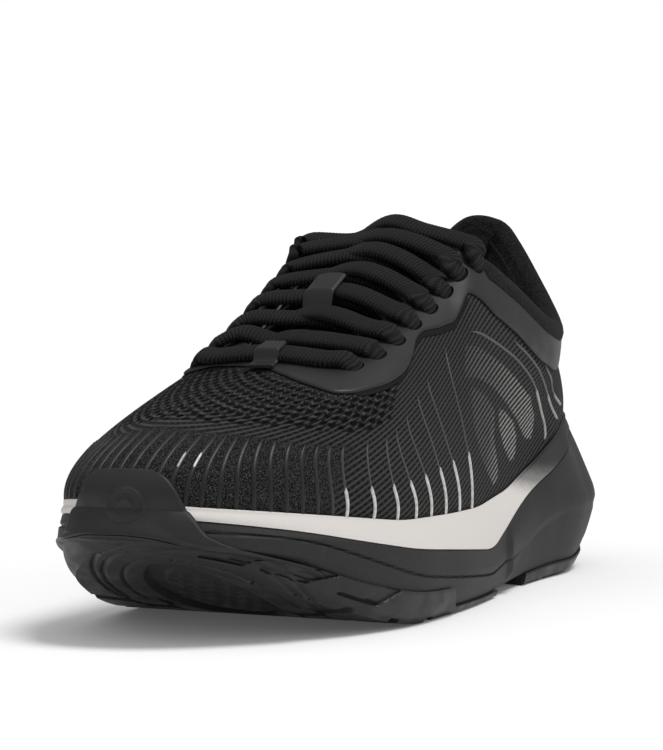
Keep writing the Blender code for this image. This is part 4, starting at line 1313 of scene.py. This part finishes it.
def up_through(k, lateral):
    """The lace's path from below the eyestay, up through a hole and over it towards the throat."""
    at, normal, inward = hole_frame(k, lateral)
    steps = ((LACE_UNDER, 1.8 * MM), (-1.2 * MM, 0.1 * MM), (0.8 * MM, 0.7 * MM), (2.0 * MM, 2.2 * MM),
             (LACE_OVER, 4.6 * MM))
    return [at + normal * height + inward * across for height, across in steps]


def throat_edge(y, lateral, d):
    """The point at this y on the throat's edge, moved by d off the upper."""
    edge = layer(np.linspace(0.02, 0.25, 200) * (1 if lateral else -1), 0.995, d)
    return Vector([float(np.interp(y, edge[:, 1], edge[:, axis])) for axis in range(3)])


def strand(k, lateral):
    """From over the hole k on one side, over the tongue, under the edge by hole k + 1 and up through it."""
    over = throat_edge(hole_frame(k, lateral)[0].y + 1.0 * MM, lateral, LACE_OVER)
    under = throat_edge(hole_frame(k + 1, not lateral)[0].y - 4 * MM, not lateral, LACE_UNDER)
    y = (over.y + under.y) / 2
    top = float(tongue_z(TONGUE_X, y)) + (HIGH_LIFT if lateral else LOW_LIFT)
    path = [over]
    for share, height in ((0.27, 0.75), (0.5, 1.0), (0.74, 0.72)):
        x, y = over.x + (under.x - over.x) * share, over.y + (under.y - over.y) * share
        base = over.z if share < 0.5 else under.z
        path.append(Vector((x, y, max(base + (top - base) * height, float(tongue_z(x, y)) + LOW_LIFT))))
    return path + [under] + up_through(k + 1, not lateral)


def tail(lateral):
    """From over the last hole on one side, over the top of the tongue, to where the other side's aglet is
    tucked."""
    over = throat_edge(hole_frame(-1, lateral)[0].y + 1.0 * MM, lateral, LACE_OVER)
    path = [over]
    for share, y, rise in TAIL_OVER:
        x = share * over.x + (1 - abs(share)) * TONGUE_X
        y = over.y + (y if lateral else 0.2 * y)
        lift = LOW_LIFT + (rise if lateral else 0)
        base = over.z if share > 0 else 0
        path.append(Vector((x, y, max(float(tongue_z(x, y)) + lift, base))))
    end_u, side = lace_hole(-1, not lateral)[0], -1 if lateral else 1
    return path + [Vector(layer([end_u + side * du], v, -depth)[0]) for du, v, depth in TAIL_TUCK]


def lace_path():
    """The whole lace: from one aglet, criss-cross down to the front bar, and criss-cross back up to the
    other."""
    sides = []
    for lateral in (True, False):
        path = up_through(0, lateral)[::-1] + up_through(1, lateral)
        from_lateral = lateral
        for k in range(1, len(HOLES) - 1):
            path += strand(k, from_lateral)
            from_lateral = not from_lateral
        sides.append(path + tail(from_lateral))
    share = np.linspace(-0.66, 0.66, 5)
    v = BAR_V + (HOLES[0][1] - BAR_V) * share**2
    bar = [Vector(p) for p in layer(share * HOLES[0][0], v, LACE_OVER)]
    return sides[1][::-1] + bar + sides[0]


def smooth_path(points, step):
    """Points about this far apart on the open smooth curve through these points."""
    points = [2 * points[0] - points[1]] + points + [2 * points[-1] - points[-2]]
    path = []
    for four in zip(points, points[1:], points[2:], points[3:]):
        pieces = max(1, round((four[2] - four[1]).length / step))
        path += [catmull_rom(*four, k / pieces) for k in range(pieces)]
    return path + [points[-2]]


def lace_directions(path):
    """Unit vectors across the lace's width and its thickness, the width kept along the throat."""
    run = unit(np.gradient(path, axis=0))
    throat = np.array(ALONG_THROAT)
    wide = throat - (run @ throat)[:, None] * run
    wide /= np.maximum(np.linalg.norm(wide, axis=1)[:, None], 0.05)
    for _ in range(6):
        wide[1:-1] = (wide[:-2] + 2 * wide[1:-1] + wide[2:]) / 4
    wide = unit(wide - np.sum(wide * run, axis=1)[:, None] * run)
    return wide, np.cross(run, wide)


def laces(finish):
    """One flat braided lace, its wide face kept along the throat, ribbed across."""
    path = np.array(smooth_path(lace_path(), 0.4 * MM))
    wide, over = lace_directions(path)
    travelled = np.concatenate([[0], np.cumsum(np.linalg.norm(np.diff(path, axis=0), axis=1))]) / MM
    sections, form = [], []
    for angle in np.arange(LACE_SIDES) * 2 * math.pi / LACE_SIDES:
        cos, sin = math.cos(angle), math.sin(angle)
        across = cos * LACE_HALF / MM
        ribs = 1 + 0.017 * np.sin((travelled + 0.12 * abs(across)) * 2 * math.pi / 1.3)
        reach = ((abs(cos) ** 2.8 + abs(sin) ** 2.8) ** (-1 / 2.8) * ribs)[:, None]
        sections.append(path + (wide * LACE_HALF * cos + over * LACE_FLAT * sin) * reach)
        form.append(np.column_stack([travelled, 0 * travelled + across, 0 * travelled]))
    sections = np.array(sections).transpose(1, 0, 2)
    form = np.array(form).transpose(1, 0, 2).reshape(-1, 3)
    return sweep("braided_lace", sections, finish, form, crease_deg=80)


KEEPER_U, KEEPER_V = (-0.0075, 0.0195), (0.86, 0.995)
KEEPER_AROUND, KEEPER_EDGE = 450, 1.2  # mm for one turn of u there, and its edge's rounding


def keeper(finish):
    """The tunnel of film at the front of the throat that the lace's front bar runs through."""
    us = np.linspace(*KEEPER_U, 44)
    bar = upper(us, BAR_V)
    near = np.minimum(us - us[0], us[-1] - us) * KEEPER_AROUND / KEEPER_EDGE
    crown = 0.9 * MM * rounding(near, 0.05)
    outer, inner = [], []
    for v in np.linspace(*KEEPER_V, 60):
        away = np.linalg.norm(upper(us, v) - bar, axis=1)
        rise = (2 * LACE_FLAT + 0.35 * MM) * (1 - smooth((away - 3.2 * MM) / (3.0 * MM)))
        lift = FILM_OUT + 0.02 * MM + rise
        outer.append(layer(us, v, lift + crown))
        inner.append(layer(us, v, lift))
    return slab("film_tunnel", outer, inner, finish)


# ---------------------------------------------------------------- assembly, light and camera


def flexes(made, slot, *nodes):
    """A piece with its placing baked into its points, standing for these nodes, which are hidden."""
    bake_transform(made)
    return stands_for(made, slot, *nodes)


def rides(made, body, slot, *nodes):
    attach(made, body)
    return stands_for(made, slot, *nodes)


def stands_for(made, slot, *nodes):
    if nodes:
        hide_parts(*nodes)
    return made


def halves(name):
    return name + "_rear", name + "_front"


def dress_nodes():
    """Materials for the frame's own nodes that stay inside the shoe."""
    board = board_finish("insole_board", grey(0.30))
    sheet = board_finish("stiffener_sheet", grey(0.22))
    tip = Finish("aglet_plastic", grey(0.02), 0.3)
    tip.bump(tip.speckle(0.8, 2.0), 0.04)
    finishes = {"strobel_board": board, "toe_puff": sheet, "heel_counter": sheet, "eyelet_backer": sheet,
                "aglet": tip.material}
    for name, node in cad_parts.items():
        for start, finish in finishes.items():
            if name.startswith(start):
                for held in node.material_slots:
                    held.material = finish


# The suns: name, the way they shine, strength, and spread in degrees.
SUNS = (
    ("key", (-0.34, -0.10, -0.93), 1.9, 22),
    ("top", (0.25, 0.55, -1.0), 0.55, 80),
    ("side", (-0.9, -0.25, -0.55), 0.35, 60),
)
FLOOR_REACH, FLOOR_GLOW, WORLD_LIGHT = 40.0, 0.06, 0.32


def studio_floor():
    finish = Finish("floor", grey(0.90), 0.95, specular=0.0)
    finish.put(finish.shader.inputs["Emission Color"], (1, 1, 1, 1))
    finish.put(finish.shader.inputs["Emission Strength"], FLOOR_GLOW)
    mesh = bpy.data.meshes.new("floor")
    corners = [(x * FLOOR_REACH, y * FLOOR_REACH, 0) for x, y in ((-1, -1), (1, -1), (1, 1), (-1, 1))]
    mesh.from_pydata(corners, [], [[0, 1, 2, 3]])
    mesh.materials.append(finish.material)
    add_object("floor", mesh)


def studio_world():
    """A white backdrop that lights the shoe less than it shows."""
    world = bpy.data.worlds.new("studio")
    world.use_nodes = True
    nodes, links = world.node_tree.nodes, world.node_tree.links
    nodes["Background"].inputs["Color"].default_value = (1, 1, 1, 1)
    strength = nodes.new("ShaderNodeMapRange")
    strength.inputs["To Min"].default_value = WORLD_LIGHT
    links.new(nodes.new("ShaderNodeLightPath").outputs["Is Camera Ray"], strength.inputs["Value"])
    links.new(strength.outputs[0], nodes["Background"].inputs["Strength"])
    bpy.context.scene.world = world
    bpy.context.scene.view_settings.view_transform = "Standard"


def aim(obj, direction):
    """Turns a sun or a camera to look along a direction."""
    obj.rotation_mode = "QUATERNION"
    obj.rotation_quaternion = Vector(direction).to_track_quat("-Z", "Y")


def studio_suns():
    for name, towards, strength, spread in SUNS:
        light = bpy.data.lights.new(name, "SUN")
        light.angle = math.radians(spread)
        light.energy = strength
        aim(add_object(name, light), towards)


CAMERA_AZIMUTH, CAMERA_ELEVATION, CAMERA_DISTANCE = 25.56, 3.39, 1139.16 * MM
CAMERA_TARGET = Vector((-4.45 * MM, 0, 72.42 * MM))
CAMERA_LENS = 167.5


def camera():
    azimuth, elevation = math.radians(CAMERA_AZIMUTH), math.radians(CAMERA_ELEVATION)
    level = math.cos(elevation)
    back = Vector((math.sin(azimuth) * level, -math.cos(azimuth) * level, math.sin(elevation)))
    data = bpy.data.cameras.new("camera")
    data.sensor_width = 36
    data.lens = CAMERA_LENS
    made = add_object("camera", data)
    made.location = CAMERA_TARGET + back * CAMERA_DISTANCE
    aim(made, -back)
    bpy.context.scene.camera = made


def build():
    rubber_look, film_look, mark_look = rubber_finish(), film_finish(), mark_finish()
    knit_look = knit_finish("knit", (0.052, 0.052, 0.051))
    collar_look = cloth_finish("collar_cloth", grey(0.014))
    forefoot, lateral, medial_pad = outsole(rubber_look)
    flexes(forefoot, "rubber", *halves("outsole_forefoot"))
    rides(lateral, "shoe", "rubber", "outsole_heel_lateral")
    rides(medial_pad, "shoe", "rubber", "outsole_heel_medial")
    flexes(toe_guard(rubber_look), "rubber")
    flexes(midsole_base(dark_foam_finish()), "dark_foam", *halves("midsole_base"))
    flexes(midsole_cushion(pale_foam_finish()), "pale_foam", *halves("midsole_cushion"))
    flexes(sockliner(cloth_finish("footbed_mesh", grey(0.03), 0.8)), "footbed", *halves("sockliner"))
    flexes(knit(knit_look), "knit", *halves("upper_knit"))
    flexes(lining(cloth_finish("lining_cloth", grey(0.010))), "lining", *halves("lining"))
    flexes(film(film_look), "film", "eyestay_overlay")
    border_look = board_finish("pressed_band", grey(0.004))
    flexes(film_border("film_border_lateral", 1, border_look), "film")
    flexes(film_border("film_border_medial", -1, border_look), "film")
    flexes(marks("raised_ribs", rib_lines(), mark_look), "film")
    rides(marks("heel_graphic", graphic_lines(), mark_look), "shoe", "film")
    rides(collar(collar_look), "shoe", "collar_padding", "collar_foam")
    rides(heel_strip(film_look), "shoe", "film", "heel_tab")
    flexes(laces(lace_finish()), "lace", "lace")
    flexes(keeper(film_look), "film", "lace_keeper")
    rides(tongue(cloth_finish("tongue_cloth", grey(0.016))), "tongue", "tongue_fabric", "tongue")
    rides(tongue_patch(film_look), "tongue", "film", "tongue_patch")
    dress_nodes()


build()
studio_floor()
studio_world()
studio_suns()
camera()
